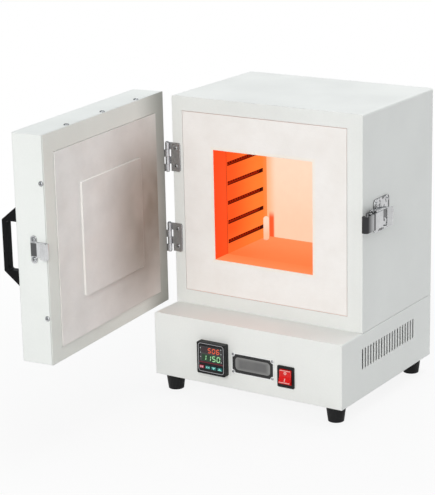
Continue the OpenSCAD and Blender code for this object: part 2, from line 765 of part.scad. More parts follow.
// Toggle latch, drawn folded. Local x is out from the casing's side, local y runs back from its front.
latch_mid = shelf_z + latch_z;
claw_y = lever_y + toggle_r;
door_side_x = -side_x - pin_out + door_edge + door_w;
door_proud = door_side_x - side_x;
lip_outer = door_proud + lip_out;
plate_clear = 3;
claw_inner = lip_outer + plate_clear;
lever_inner_h = lever_h / 2 - latch_t;
claw_half = lever_inner_h - 0.5;
base_ear = claw_half - 1.6;
claw_ear = base_ear - latch_t - 0.5;
ear_r = 3.2;
lip_behind = -2.5;
hook_front = lip_behind - lip_l - claw_gap - latch_t;
latch_wide_y = lever_y + 16;
neck_y = lever_y - 6;
rivet_d = 4;

function rivet_points() = [for (y = [6, latch_base_l - 6], z = [-1, 1])
    [casing_y + latch_wide_y + y, latch_mid + z * (latch_base_h / 2 - 6)]];

module latch_frame() translate([side_x, casing_y, latch_mid]) children();

// Upright bore for a latch pin at y in the latch's frame
module latch_bore(y) translate([latch_out, y, -lever_h])
    cylinder(d = latch_pin_d + 2 * pin_gap, h = 2 * lever_h);

module latch_base() color("silver") latch_frame() difference() {
    union() {
        translate([0, latch_wide_y, -latch_base_h / 2]) rotate([90, 0, 90]) linear_extrude(latch_t)
            round_rect(latch_base_l, latch_base_h, 5);
        translate([0, neck_y, -base_ear]) cube([latch_t, latch_wide_y - neck_y + 1, 2 * base_ear]);
        for (side = [-1, 1]) translate([0, 0, side > 0 ? base_ear - latch_t : -base_ear])
            linear_extrude(latch_t) {
                translate([0, lever_y - ear_r]) square([latch_out, 2 * ear_r]);
                translate([latch_out, lever_y]) circle(ear_r);
                translate([0, neck_y]) square([latch_t + 1, 20]);
            }
    }
    latch_bore(lever_y);
    for (p = rivet_points())
        rod_x(-1, p[0] - casing_y, p[1] - latch_mid, rivet_d + 2 * screw_hole_gap, latch_t + 2);
}

module latch_rivets() color("silver")
    for (p = rivet_points())
        translate([side_x + latch_t, p[0], p[1]]) rotate([0, 90, 0]) pan_screw(rivet_d, 7.5, 1.8, latch_t + sheet + 2);

// Pin with a button head at each end, seated outside the ears
module latch_pin(y, half) latch_frame() translate([latch_out, y, 0]) {
    translate([0, 0, -half - 1]) cylinder(d = latch_pin_d, h = 2 * half + 2);
    for (z = [-half - 1, half + 0.1]) translate([0, 0, z]) cylinder(d = latch_pin_d + 2, h = 0.9);
}

module lever_pin() color("silver") latch_pin(lever_y, lever_h / 2);
module claw_pin() color("silver") latch_frame() translate([latch_out, claw_y, -lever_h / 2])
    cylinder(d = latch_pin_d, h = lever_h);

// Lever: a channel whose ears carry both pins, with a web that flares out to a finger lip
web_y = claw_y + 13.8;
web_x = claw_inner + latch_t + 0.4;
lever_end = claw_y + lever_l;
flare_r = 8;

module latch_lever() color("silver") latch_frame() difference() {
    union() {
        for (side = [-1, 1]) translate([0, 0, side > 0 ? lever_h / 2 - latch_t : -lever_h / 2])
            linear_extrude(latch_t) {
                translate([latch_out, lever_y]) circle(ear_r);
                translate([latch_out, claw_y]) circle(ear_r);
                translate([latch_out - ear_r, lever_y]) square([2 * ear_r, toggle_r]);
                polygon([[latch_out - ear_r, claw_y], [latch_out + ear_r, claw_y - ear_r], [web_x, web_y],
                    [web_x, lever_end - flare_r + 2], [latch_out, lever_end - flare_r - 3]]);
            }
        translate([web_x - 0.2, web_y, -lever_h / 2]) cube([latch_t, lever_end - flare_r - web_y + eps, lever_h]);
        translate([web_x - 0.2 + latch_t + flare_r, lever_end - flare_r, -lever_h / 2])
            intersection() {
                difference() {
                    cylinder(r = flare_r + latch_t, h = lever_h);
                    translate([0, 0, -1]) cylinder(r = flare_r, h = lever_h + 2);
                }
                translate([-flare_r - latch_t - 1, 0, -1])
                    cube([flare_r * 0.75, flare_r + latch_t, lever_h + 2]);
            }
    }
    latch_bore(lever_y);
    latch_bore(claw_y);
}

// Claw: a plate with two ears behind, and in front a hook that goes round the keeper's lip
hook_tip_x = door_proud + latch_t + claw_gap + 1;
hook_tip_y = hook_front + latch_t + 6;
hook_r = 4.5;
hook_tip_r = 2;

module claw_profile() {
    outer = claw_inner + latch_t;
    difference() {
        union() {
            translate([claw_inner, hook_front + hook_r]) square([latch_t, claw_y + 5 - hook_front - hook_r]);
            translate([hook_tip_x + hook_tip_r, hook_front])
                square([outer - hook_r - hook_tip_x - hook_tip_r, latch_t]);
            translate([outer - hook_r, hook_front + hook_r]) circle(hook_r);
            translate([hook_tip_x, hook_front + hook_tip_r])
                square([latch_t, hook_tip_y - hook_front - hook_tip_r]);
            translate([hook_tip_x + hook_tip_r, hook_front + hook_tip_r]) circle(hook_tip_r);
        }
        translate([outer - hook_r, hook_front + hook_r]) circle(hook_r - latch_t);
        translate([hook_tip_x + latch_t, hook_front + latch_t])
            square([claw_inner - hook_tip_x - latch_t, claw_y]);
    }
}

module latch_claw() color("silver") latch_frame() difference() {
    union() {
        translate([0, 0, -claw_half]) linear_extrude(2 * claw_half) claw_profile();
        for (side = [-1, 1]) translate([0, 0, side > 0 ? claw_ear - latch_t : -claw_ear])
            linear_extrude(latch_t) {
                translate([latch_out, claw_y]) circle(ear_r);
                translate([latch_out, claw_y - ear_r]) square([claw_inner - latch_out + eps, 2 * ear_r]);
            }
    }
    latch_bore(claw_y);
}

// Door. Its pieces are drawn shut, with x and y from the hinge axis, and turned to where it stands.
pin_x = -side_x - pin_out;
pin_y = casing_y - pin_front;
door_inner_y = -pin_front;
door_outer_y = door_inner_y - door_t;
door_x1 = door_edge + door_w;
door_z0 = shelf_z + door_gap;
door_z1 = door_z0 + door_h;
door_mid_x = door_edge + door_w / 2;
door_mid_z = door_z0 + door_h / 2;
door_screw_in = 5.5;
door_seam = 0.7;
door_screw_pitch = 93;

module on_door() translate([pin_x, pin_y, 0]) rotate([0, 0, -door_open]) children();

// Door outline seen from above, with its two outer upright edges round
module pan_outline(x0, x1, y0, y1, r) {
    translate([x0, y0 + r]) square([x1 - x0, y1 - y0 - r]);
    translate([x0 + r, y0]) square([x1 - x0 - 2 * r, y1 - y0]);
    for (x = [x0 + r, x1 - r]) translate([x, y0 + r]) circle(r);
}

// Screws in the top, bottom and upright edges: [x, z, rotation of a screw that points up]
function edge_screws() = [
    for (k = [-1, 0, 1]) [door_mid_x + k * door_screw_pitch, door_z1, [0, 0, 0]],
    for (k = [-1, 0, 1]) [door_mid_x + k * door_screw_pitch, door_z0, [180, 0, 0]],
    for (k = [-1, 1]) [door_x1, door_mid_z + k * door_screw_pitch, [0, 90, 0]],
    for (k = [-1, 1]) [door_edge, door_mid_z + k * door_screw_pitch, [0, -90, 0]]];

module at_edge_screws()
    for (s = edge_screws()) translate([s[0], door_inner_y - door_screw_in, s[1]]) rotate(s[2]) children();

module door_pan() color("whitesmoke") on_door() difference() {
    translate([0, 0, door_z0]) linear_extrude(door_h)
        pan_outline(door_edge, door_x1, door_outer_y, door_inner_y - sheet - door_seam, edge_r);
    translate([0, 0, door_z0 + sheet]) linear_extrude(door_h - 2 * sheet)
        pan_outline(door_edge + sheet, door_x1 - sheet, door_outer_y + sheet, door_inner_y + 1, edge_r - sheet);
    at_edge_screws() translate([0, 0, -screw_grip]) cylinder(d = screw_d + 2 * screw_hole_gap, h = screw_grip + 1);
    for (p = keeper_screw_points())
        rod_x(door_x1 - sheet - 1, p[0], p[1], screw_d + 2 * screw_hole_gap, sheet + 2);
    for (p = door_leaf_screw_points())
        rod_x(door_edge - 1, p[0], p[1], leaf_screw_d + 2 * screw_hole_gap, sheet + 2);
    for (z = handle_screw_heights())
        rod_y(handle_x, door_outer_y - 1, z, screw_d + 2 * screw_hole_gap, sheet + 2);
}

door_board_x0 = door_mid_x - board_w / 2;
door_board_x1 = door_mid_x + board_w / 2;
door_board_z0 = board_bottom;
door_board_z1 = board_bottom + board_h;

module door_frame() color([0.78, 0.8, 0.78]) on_door() {
    rim_gap = sheet + seat_gap;
    difference() {
        union() {
            box(door_edge, door_x1, door_inner_y - sheet, door_inner_y, door_z0, door_z1);
            box(door_edge + rim_gap, door_x1 - rim_gap, door_inner_y - sheet - rim_d, door_inner_y - eps,
                door_z0 + rim_gap, door_z1 - rim_gap);
        }
        box(door_edge + rim_gap + sheet, door_x1 - rim_gap - sheet, door_inner_y - sheet - rim_d - 1,
            door_inner_y - sheet, door_z0 + rim_gap + sheet, door_z1 - rim_gap - sheet);
        box(door_board_x0 - board_gap, door_board_x1 + board_gap, door_inner_y - sheet - 1, door_inner_y + 1,
            door_board_z0 - board_gap, door_board_z1 + board_gap);
        at_edge_screws() translate([0, 0, -screw_grip]) cylinder(d = screw_d + 2 * screw_hole_gap, h = screw_grip);
    }
}

// Ceramic board with a raised middle that lines up with the chamber's mouth
module door_board() color([0.84, 0.82, 0.8]) on_door() {
    face_y = door_inner_y + door_board_proud;
    plug_w = chamber_w - 2 * plug_gap;
    plug_h = chamber_h - 2 * plug_gap;
    plug_x = chamber_x - pin_x;
    box(door_board_x0, door_board_x1, face_y - door_board_t, face_y, door_board_z0, door_board_z1);
    plate_xz(plug_x, mouth_z, plug_w, plug_h, 3, face_y - eps, face_y + plug_t);
}

// Fibre block behind the board, clear of the edge screws, with a hollow for each handle screw's head
pad_in = 8;

module door_insulation() color([0.93, 0.91, 0.88]) on_door() difference() {
    clear = sheet + seat_gap;
    box(door_edge + clear + pad_in, door_x1 - clear - pad_in, door_outer_y + clear,
        door_inner_y + door_board_proud - door_board_t, door_z0 + clear + pad_in, door_z1 - clear - pad_in);
    for (z = handle_screw_heights())
        rod_y(handle_x, door_outer_y + clear - 1, z, screw_head_d + 1, screw_head_h + 1.5);
}

// Handle on the door's outer face: an open bridge with slanted legs
handle_x = door_x1 - handle_in;
handle_z = door_mid_z + handle_rise;
leg_l = (handle_l - finger_l) / 2;
handle_screw_d = 3;
handle_screw_l = 8;
function handle_screw_heights() = [for (k = [-1, 1]) handle_z + k * (finger_l / 2 + leg_l / 2)];

module handle_outline() {
    soft = 3;
    difference() {
        hull() {
            for (k = [-1, 1]) {
                translate([0, k * handle_l / 2 - (k > 0 ? 2 : 0)]) square([2, 2]);
                translate([handle_out - soft, k * (grip_l / 2 - soft)]) circle(soft);
            }
        }
        translate([-1, -finger_l / 2]) square([handle_out - grip_t + 1 - soft, finger_l]);
        translate([-1, soft - finger_l / 2]) square([handle_out - grip_t + 1, finger_l - 2 * soft]);
        for (k = [-1, 1]) translate([handle_out - grip_t - soft, k * (finger_l / 2 - soft)]) circle(soft);
    }
}

module door_handle() color([0.08, 0.08, 0.08]) on_door() difference() {
    translate([handle_x + handle_w / 2, door_outer_y, handle_z]) rotate([0, 0, 180]) rotate([90, 0, 90])
        linear_extrude(handle_w) handle_outline();
    for (z = handle_screw_heights())
        rod_y(handle_x, door_outer_y - handle_screw_l - 1, z, handle_screw_d + 2 * screw_hole_gap, handle_screw_l + 2);
}

// Screws round the door's edges, through the keeper, and into the handle from inside the pan
module door_screws() color("silver") on_door() {
    at_edge_screws() pan_screw();
    for (p = keeper_screw_points())
        translate([door_x1 + latch_t, p[0], p[1]]) rotate([0, 90, 0]) pan_screw();
    for (z = handle_screw_heights())
        translate([handle_x, door_outer_y + sheet, z]) rotate([-90, 0, 0])
            pan_screw(handle_screw_d, screw_head_d, screw_head_h, handle_screw_l + sheet);
}

// Keeper on the door's free edge: a screwed plate and a lip that curls out and back towards the front
keeper_w = 9.5;
keeper_h = 38.5;
keeper_y = door_inner_y - 21;
keeper_screw_z = 13.6;
lip_t = latch_t;
function keeper_screw_points() = [for (k = [-1, 1]) [keeper_y, latch_mid + k * keeper_screw_z]];

module keeper_profile() {
    back = pin_front + lip_behind;
    front = back - lip_l;
    r = lip_out / 2;
    translate([0, keeper_y]) square([lip_t, back - r - keeper_y]);
    translate([lip_out - lip_t, front + 1]) square([lip_t, lip_l - r - 1]);
    translate([r, back - r]) difference() {
        circle(r);
        circle(r - lip_t);
        translate([-r - 1, -r - 1]) square([2 * r + 2, r + 1]);
    }
    translate([lip_out - lip_t / 2, front + 1]) circle(lip_t / 2);
}

module keeper() color("silver") on_door() difference() {
    union() {
        translate([door_x1, keeper_y - keeper_w / 2, latch_mid - keeper_h / 2]) rotate([90, 0, 90])
            linear_extrude(latch_t) round_rect(keeper_w, keeper_h, keeper_w / 2 - eps);
        translate([door_x1, 0, latch_mid - lip_h / 2]) linear_extrude(lip_h) keeper_profile();
    }
    for (p = keeper_screw_points()) rod_x(door_x1 - 1, p[0], p[1], screw_d + 2 * screw_hole_gap, latch_t + 2);
}

// Hinges
leaf_screw_d = 3.6;
leaf_head_d = 6.8;
leaf_head_h = 1.1;
notch_w = pin_out - 2.4;
knuckle_pitch = hinge_h / knuckle_count;
knuckle_play = 0.15;
casing_leaf_screw_x = pin_x + 13.4;
door_leaf_screw_y = -pin_front - sheet - rim_d - leaf_screw_d / 2 - 1;
function hinge_z(k) = door_mid_z + k * hinge_span / 2;
function leaf_screw_z(k) = [for (s = [-1, 1]) hinge_z(k) + s * leaf_screw_span / 2];
function casing_leaf_screw_points() = [for (k = [-1, 1], z = leaf_screw_z(k)) [casing_leaf_screw_x, z]];
function door_leaf_screw_points() = [for (k = [-1, 1], z = leaf_screw_z(k)) [door_leaf_screw_y, z]];

// The knuckles of one leaf, those numbered first, first + 2 and so on, round the axis at the origin
module knuckles(first) {
    for (i = [first : 2 : knuckle_count - 1])
        translate([0, 0, i * knuckle_pitch + knuckle_play]) cylinder(d = knuckle_d, h = knuckle_pitch - 2 * knuckle_play);
}

// Clear spaces in a leaf for the other leaf's knuckles
module notches(first, x0, x1, y0, y1) {
    for (i = [first : 2 : knuckle_count - 1])
        box(x0, x1, y0, y1, i * knuckle_pitch - knuckle_play, (i + 1) * knuckle_pitch + knuckle_play);
}

module hinge_bore() translate([0, 0, -1]) cylinder(d = pin_d + 2 * pin_gap, h = hinge_h + 2);

module casing_leaf(k) color([0.8, 0.8, 0.8]) translate([pin_x, pin_y, hinge_z(k) - hinge_h / 2]) difference() {
    union() {
        knuckles(1);
        difference() {
            translate([0, pin_front, 0]) rotate([90, 0, 0]) linear_extrude(leaf_t) difference() {
                translate([-3, 0]) round_rect(casing_leaf_w + 3, hinge_h, 3);
                translate([-4, -1]) square([4, hinge_h + 2]);
            }
            notches(0, -4, notch_w, -5, 5);
            translate([0, 0, -1]) cylinder(d = knuckle_d - 1, h = hinge_h + 2);
        }
    }
    hinge_bore();
    for (z = leaf_screw_z(k))
        rod_y(casing_leaf_screw_x - pin_x, -1, z - hinge_z(k) + hinge_h / 2, leaf_screw_d + 2 * screw_hole_gap, 6);
}

module door_leaf(k) color([0.8, 0.8, 0.8]) on_door() translate([0, 0, hinge_z(k) - hinge_h / 2]) difference() {
    union() {
        knuckles(0);
        difference() {
            translate([door_edge - leaf_t, 0, 0]) rotate([90, 0, 90]) linear_extrude(leaf_t) difference() {
                translate([-door_leaf_w, 0]) round_rect(door_leaf_w + 3, hinge_h, 3);
                translate([0, -1]) square([5, hinge_h + 2]);
            }
            notches(1, -5, 6, -notch_w, 5);
            translate([0, 0, -1]) cylinder(d = knuckle_d - 1, h = hinge_h + 2);
        }
    }
    hinge_bore();
    for (z = leaf_screw_z(k))
        rod_x(-1, door_leaf_screw_y, z - hinge_z(k) + hinge_h / 2, leaf_screw_d + 2 * screw_hole_gap, 6);
}

// Pin with a button head at each end, just outside the end knuckles
module hinge_pin(k) color([0.85, 0.85, 0.85]) translate([pin_x, pin_y, hinge_z(k) - hinge_h / 2]) {
    translate([0, 0, -1.2]) cylinder(d = pin_d, h = hinge_h + 2.4);
    for (z = [-1.2, hinge_h + 0.2]) translate([0, 0, z]) cylinder(d = pin_d + 1.6, h = 1);
}

module casing_hinge_screws() color("silver")
    for (p = casing_leaf_screw_points())
        translate([p[0], casing_y - leaf_t, p[1]]) rotate([90, 0, 0])
            pan_screw(leaf_screw_d, leaf_head_d, leaf_head_h, leaf_t + sheet + 3);

module door_hinge_screws() color("silver") on_door()
    for (p = door_leaf_screw_points())
        translate([door_edge - leaf_t, p[0], p[1]]) rotate([0, -90, 0])
            pan_screw(leaf_screw_d, leaf_head_d, leaf_head_h, leaf_t + sheet + 3);

base_shell();
base_floor();
base_back();
cable_gland();
foot(0);  // foot_front_left
foot(1);  // foot_front_right
foot(2);  // foot_rear_left
foot(3);  // foot_rear_right
foot_screws();
casing_shell();
casing_back();
cover_screws();
front_board();
hearth_board();
roof_board();
side_board(-1);  // side_board_left
side_board(1);  // side_board_right
rear_board();
heater_plate(-1);  // heater_plate_left
heater_plate(1);  // heater_plate_right
heating_coil(-1);  // heating_coil_left
heating_coil(1);  // heating_coil_right
coil_terminals();
thermocouple();
relay();
heat_sink();
controller_case();
controller_window();
controller_clamp();
controller_key(0);  // controller_key_1
controller_key(1);  // controller_key_2
controller_key(2);  // controller_key_3
controller_key(3);  // controller_key_4
bare_plate();
plate_screws();
switch_bezel();
switch_rocker();
latch_base();
latch_rivets();
lever_pin();
latch_lever();
claw_pin();
latch_claw();
casing_leaf(1);  // hinge_upper_casing_leaf
casing_leaf(-1);  // hinge_lower_casing_leaf
hinge_pin(1);  // hinge_upper_pin
hinge_pin(-1);  // hinge_lower_pin
casing_hinge_screws();
door_leaf(1);  // hinge_upper_door_leaf
door_leaf(-1);  // hinge_lower_door_leaf
door_hinge_screws();
door_pan();
door_frame();
door_board();
door_insulation();
door_handle();
door_screws();
keeper();
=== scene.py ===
# Bench kiln for jewellery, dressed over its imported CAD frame.
# Metres, in the row frame: +Z up, +X to the right, the front faces -Y, the origin on the floor.
import math
import random

import bpy
from mathutils import Matrix, Vector


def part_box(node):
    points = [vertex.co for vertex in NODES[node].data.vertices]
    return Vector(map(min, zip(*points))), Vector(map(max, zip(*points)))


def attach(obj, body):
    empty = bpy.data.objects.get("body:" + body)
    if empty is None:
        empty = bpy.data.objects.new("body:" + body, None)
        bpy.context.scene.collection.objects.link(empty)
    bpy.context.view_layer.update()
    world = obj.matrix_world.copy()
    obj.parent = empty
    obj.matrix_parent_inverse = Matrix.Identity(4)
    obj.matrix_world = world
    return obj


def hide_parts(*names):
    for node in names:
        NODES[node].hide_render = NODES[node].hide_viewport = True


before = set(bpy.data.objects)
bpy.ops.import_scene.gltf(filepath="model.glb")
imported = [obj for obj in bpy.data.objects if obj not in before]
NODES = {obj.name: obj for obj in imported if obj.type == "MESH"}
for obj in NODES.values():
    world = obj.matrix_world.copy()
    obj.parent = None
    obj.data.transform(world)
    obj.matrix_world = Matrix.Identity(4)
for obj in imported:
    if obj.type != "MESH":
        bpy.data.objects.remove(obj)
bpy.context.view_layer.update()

MM = 0.001

# Faces of the object that the pieces below sit on
CASING_Y = -0.0775
BACK_Y = 0.1375
BEZEL_Y = -0.1475
WINDOW_Y = -0.1473
PLATE_Y = -0.1391
PLATE_SUNK_Y = -0.1383
CHAMBER_X = -0.005
CHAMBER_HALF = 0.0825
CHAMBER_Z = 0.278
CHAMBER_BACK_Y = 0.070
PLATE_FRONT_Y = -0.0435
PLATE_X = 0.0126
PLATE_Z = 0.0655
LATCH_Z = 0.284
SHADOW_X = -0.0797
FRONT = Vector((0, -1, 0))
BACK = Vector((0, 1, 0))

# Depth of the dark print behind the digits, and of the prints that lie on a face
FIELD_T = 0.00004
KEY_PRINT_T = 0.00006
LIT_T = 0.00008
PRINT_T = 0.0001

# Door frame: the hinge axis, and the direction from it towards the free edge at rest
PIN = Vector((-0.1653, -0.0807, 0.0))
DOOR_ANGLE = math.radians(-84.5)
DOOR_OUT = Vector((math.cos(DOOR_ANGLE), math.sin(DOOR_ANGLE), 0.0))
DOOR_IN = Vector((-math.sin(DOOR_ANGLE), math.cos(DOOR_ANGLE), 0.0))


def door_point(lx, ly, z):
    """A point of the door in mm from the hinge axis, as a point of the row frame."""
    return PIN + DOOR_OUT * lx * MM + DOOR_IN * ly * MM + Vector((0, 0, z * MM))


def mm(x, y, z):
    return Vector((x, y, z)) * MM


def in_mm(outline):
    return [(a * MM, b * MM) for a, b in outline]


def srgb(r, g, b):
    """A linear colour from the 0-255 values of a screen colour."""
    def channel(v):
        v /= 255
        return v / 12.92 if v <= 0.04045 else ((v + 0.055) / 1.055) ** 2.4
    return (channel(r), channel(g), channel(b), 1.0)


class Look:
    """A node material under construction."""

    def __init__(self, name, **sockets):
        self.mat = bpy.data.materials.new(name)
        self.mat.use_nodes = True
        self.tree = self.mat.node_tree
        self.bsdf = self.tree.nodes["Principled BSDF"]
        for key, value in sockets.items():
            self.socket(key.replace("_", " ")).default_value = value
        self.where = self.node("ShaderNodeTexCoord").outputs["Object"]
        parts = self.node("ShaderNodeSeparateXYZ")
        self.join(self.where, parts.inputs[0])
        self.x, self.y, self.z = parts.outputs

    def socket(self, name):
        for item in self.bsdf.inputs:
            if item.name.lower() == name.lower():
                return item
        raise KeyError(name)

    def node(self, kind, **values):
        item = self.tree.nodes.new(kind)
        for key, value in values.items():
            setattr(item, key, value)
        return item

    def join(self, a, b):
        if hasattr(a, "is_output"):
            self.tree.links.new(a, b)
        else:
            b.default_value = a

    def set(self, name, value):
        self.join(value, self.socket(name))

    def math(self, operation, a, b=0.0, c=0.0):
        item = self.node("ShaderNodeMath", operation=operation)
        for value, socket in zip((a, b, c), item.inputs):
            self.join(value, socket)
        return item.outputs[0]

    def span(self, value, low, high, to_low=0.0, to_high=1.0, smooth=True):
        """value from low..high to to_low..to_high, held at both ends."""
        item = self.node("ShaderNodeMapRange", interpolation_type="SMOOTHSTEP" if smooth else "LINEAR")
        for socket, v in zip(item.inputs, (value, low, high, to_low, to_high)):
            self.join(v, socket)
        return item.outputs[0]

    def mix(self, factor, a, b):
        item = self.node("ShaderNodeMix", data_type="RGBA")
        self.join(factor, item.inputs["Factor"])
        self.join(a, item.inputs[6])
        self.join(b, item.inputs[7])
        return item.outputs[2]

    def noise(self, scale, detail=3.0, rough=0.55, stretch=None, where=None):
        vector = where or self.where
        if stretch:
            mapping = self.node("ShaderNodeMapping")
            mapping.inputs["Scale"].default_value = stretch
            self.join(vector, mapping.inputs["Vector"])
            vector = mapping.outputs[0]
        item = self.node("ShaderNodeTexNoise")
        self.join(vector, item.inputs["Vector"])
        item.inputs["Scale"].default_value = scale
        item.inputs["Detail"].default_value = detail
        item.inputs["Roughness"].default_value = rough
        return item.outputs["Fac"]

    def cells(self, scale):
        item = self.node("ShaderNodeTexVoronoi")
        self.join(self.where, item.inputs["Vector"])
        item.inputs["Scale"].default_value = scale
        return item.outputs["Distance"]

    def along(self, direction, start):
        """Distance from start along a direction."""
        item = self.node("ShaderNodeVectorMath", operation="DOT_PRODUCT")
        self.join(self.where, item.inputs[0])
        item.inputs[1].default_value = direction
        return self.math("SUBTRACT", item.outputs["Value"], start)

    def relief(self, height, strength, distance, round_edges=0.0):
        """Bump from height, over edges that are softened to a radius."""
        bump = self.node("ShaderNodeBump")
        bump.inputs["Strength"].default_value = strength
        bump.inputs["Distance"].default_value = distance
        self.join(height, bump.inputs["Height"])
        if round_edges:
            bevel = self.node("ShaderNodeBevel", samples=6)
            bevel.inputs["Radius"].default_value = round_edges
            self.join(bevel.outputs[0], bump.inputs["Normal"])
        self.join(bump.outputs[0], self.socket("Normal"))

    def edge_wear_and_highlight(self, radius):
        """0 on flat faces, up to 1 along the edges: the mask of painted edge highlights, and of worn edges on
        plastic.
        """
        bevel = self.node("ShaderNodeBevel", samples=6)
        bevel.inputs["Radius"].default_value = radius
        flat = self.node("ShaderNodeNewGeometry").outputs["Normal"]
        dot = self.node("ShaderNodeVectorMath", operation="DOT_PRODUCT")
        self.join(bevel.outputs[0], dot.inputs[0])
        self.join(flat, dot.inputs[1])
        return self.span(dot.outputs["Value"], 1.0, 0.8)


def painted(name, colour, soft=0.0012, rough=0.4, shade=None):
    """Powder coat: an even colour with faint clouds, orange peel, painted highlights along the edges and a
    painted shade if one is given.
    """
    look = Look(name, Specular_IOR_Level=0.45)
    pale = tuple(min(1.0, c * 1.02) for c in colour[:3]) + (1.0,)
    dull = tuple(c * 0.965 for c in colour[:3]) + (1.0,)
    clouds = look.noise(7.0, 4.0)
    grain = look.noise(420.0, 2.0)
    body = look.mix(look.span(clouds, 0.3, 0.7), dull, pale)
    body = look.mix(look.span(grain, 0.35, 0.75, 0.0, 0.05), body, (0.6, 0.6, 0.58, 1.0))
    # Painted highlights: the edges paler
    body = look.mix(look.edge_wear_and_highlight(soft), body, (0.97, 0.97, 0.96, 1.0))
    # Painted shade in a dark grey, where a shade is given
    if shade:
        body = look.mix(shade(look), body, srgb(128, 126, 118))
    look.set("Base Color", body)
    look.set("Roughness", look.span(clouds, 0.3, 0.7, rough - 0.05, rough + 0.06))
    look.relief(look.noise(900.0, 2.0), 0.05, 0.0004, soft)
    return look.mat


def metal(name, colour, rough, grain=(1.0, 1.0, 1.0), grain_depth=0.1, soft=0.0004, stain=0.25,
          shade=None):
    """Steel or aluminium with a drawn grain, faint smudges, painted highlights along the edges and, if given,
    painted shade and dark reflections.
    """
    look = Look(name, Metallic=1.0)
    smudge = look.noise(60.0, 4.0)
    lines = look.noise(1400.0, 3.0, stretch=grain)
    dark = tuple(c * (1 - stain) for c in colour[:3]) + (1.0,)
    body = look.mix(look.span(smudge, 0.35, 0.7), colour, dark)
    body = look.mix(look.span(lines, 0.3, 0.7, 0.0, 0.18), body, (0.25, 0.25, 0.26, 1.0))
    # Painted highlights: the edges brighter
    body = look.mix(look.edge_wear_and_highlight(soft), body, (0.93, 0.93, 0.94, 1.0))
    # Painted shade and dark reflections, near black, where a shade is given
    if shade:
        body = look.mix(shade(look), body, (0.02, 0.02, 0.022, 1.0))
    look.set("Base Color", body)
    look.set("Roughness", look.span(smudge, 0.3, 0.7, rough * 0.75, rough * 1.35))
    look.relief(lines, grain_depth, 0.00006, soft)
    return look.mat


def plastic(name, colour, rough, grain=650.0, depth=0.12, soft=0.0005, specular=0.35, dust=0.1):
    """Moulded plastic or rubber with a fine spark texture and slightly dusty clouds."""
    look = Look(name, Specular_IOR_Level=specular)
    clouds = look.noise(45.0, 4.0)
    dusty = tuple(c + (0.35 - c) * dust for c in colour[:3]) + (1.0,)
    body = look.mix(look.span(clouds, 0.4, 0.8, 0.0, 0.6), colour, dusty)
    worn = tuple(c + (0.5 - c) * dust * 1.6 for c in colour[:3]) + (1.0,)
    look.set("Base Color", look.mix(look.edge_wear_and_highlight(soft), body, worn))
    look.set("Roughness", look.span(clouds, 0.3, 0.7, rough * 0.85, rough * 1.15))
    look.relief(look.noise(grain * 3, 2.0), depth, 0.0001, soft)
    return look.mat


def fibre(look, colour, shade, scale=160.0):
    """Colour of pressed ceramic fibre: clouds, short fibres and a few darker specks."""
    clouds = look.noise(22.0, 5.0)
    threads = look.noise(scale, 4.0, 0.7, stretch=(1.0, 1.0, 3.0))
    specks = look.span(look.cells(170.0), 0.1, 0.02)
    body = look.mix(look.span(clouds, 0.3, 0.75), colour, shade)
    body = look.mix(look.span(threads, 0.4, 0.8, 0.0, 0.35), body, shade)
    look.relief(look.math("ADD", threads, look.math("MULTIPLY", clouds, 2.0)), 0.35, 0.0005, 0.0008)
    look.set("Roughness", look.span(clouds, 0.3, 0.7, 0.85, 0.97))
    return look.mix(look.math("MULTIPLY", specks, 0.15), body, (0.45, 0.4, 0.36, 1.0))


def glowing(look, colour, strength=1.0, base=0.25):
    """Gives a look the light of a hot surface, and returns its colour dimmed for the surface itself."""
    mottle = look.span(look.noise(70.0, 4.0), 0.3, 0.7, 0.98, 1.01)
    lamp = look.node("ShaderNodeVectorMath", operation="SCALE")
    look.join(colour, lamp.inputs[0])
    look.join(look.math("MULTIPLY", mottle, strength), lamp.inputs["Scale"])
    look.set("Emission Color", lamp.outputs[0])
    look.set("Emission Strength", 1.0)
    dim = look.node("ShaderNodeVectorMath", operation="SCALE")
    look.join(colour, dim.inputs[0])
    look.join(base, dim.inputs["Scale"])
    return dim.outputs[0]


def front_board_look():
    """Pale board outside with a painted warm glow round the mouth, and hot inside the mouth: orange sides, a
    lighter bottom and top.
    """
    look = Look("front board")
    cold = fibre(look, srgb(250, 246, 243), srgb(244, 239, 235))
    inside = look.math("GREATER_THAN", look.y, CASING_Y + 0.0003)
    across = look.math("ABSOLUTE", look.math("SUBTRACT", look.x, CHAMBER_X))
    upright = look.math("ABSOLUTE", look.math("SUBTRACT", look.z, CHAMBER_Z))
    mouth = look.math("LESS_THAN", look.math("MAXIMUM", across, upright), CHAMBER_HALF + 0.0004)
    hot = look.math("MULTIPLY", inside, mouth)
    level = look.math("GREATER_THAN", upright, CHAMBER_HALF - 0.0003)
    side = look.mix(look.span(look.y, CASING_Y, PLATE_FRONT_Y), srgb(255, 72, 18), srgb(255, 80, 26))
    flat = look.mix(look.span(look.y, CASING_Y, PLATE_FRONT_Y), srgb(255, 140, 84), srgb(255, 132, 72))
    heat = look.mix(level, side, flat)
    near = look.math("MAXIMUM", across, upright)
    # Painted glow: the board round the mouth tinted warm by the chamber's light
    rim = look.span(near, CHAMBER_HALF + 0.007, CHAMBER_HALF, 0.0, 0.35)
    outside = look.mix(rim, cold, srgb(255, 240, 214))
    glow = look.mix(hot, (0, 0, 0, 1), heat)
    dim = glowing(look, glow, 0.86)
    look.set("Base Color", look.mix(hot, outside, dim))
    return look.mat


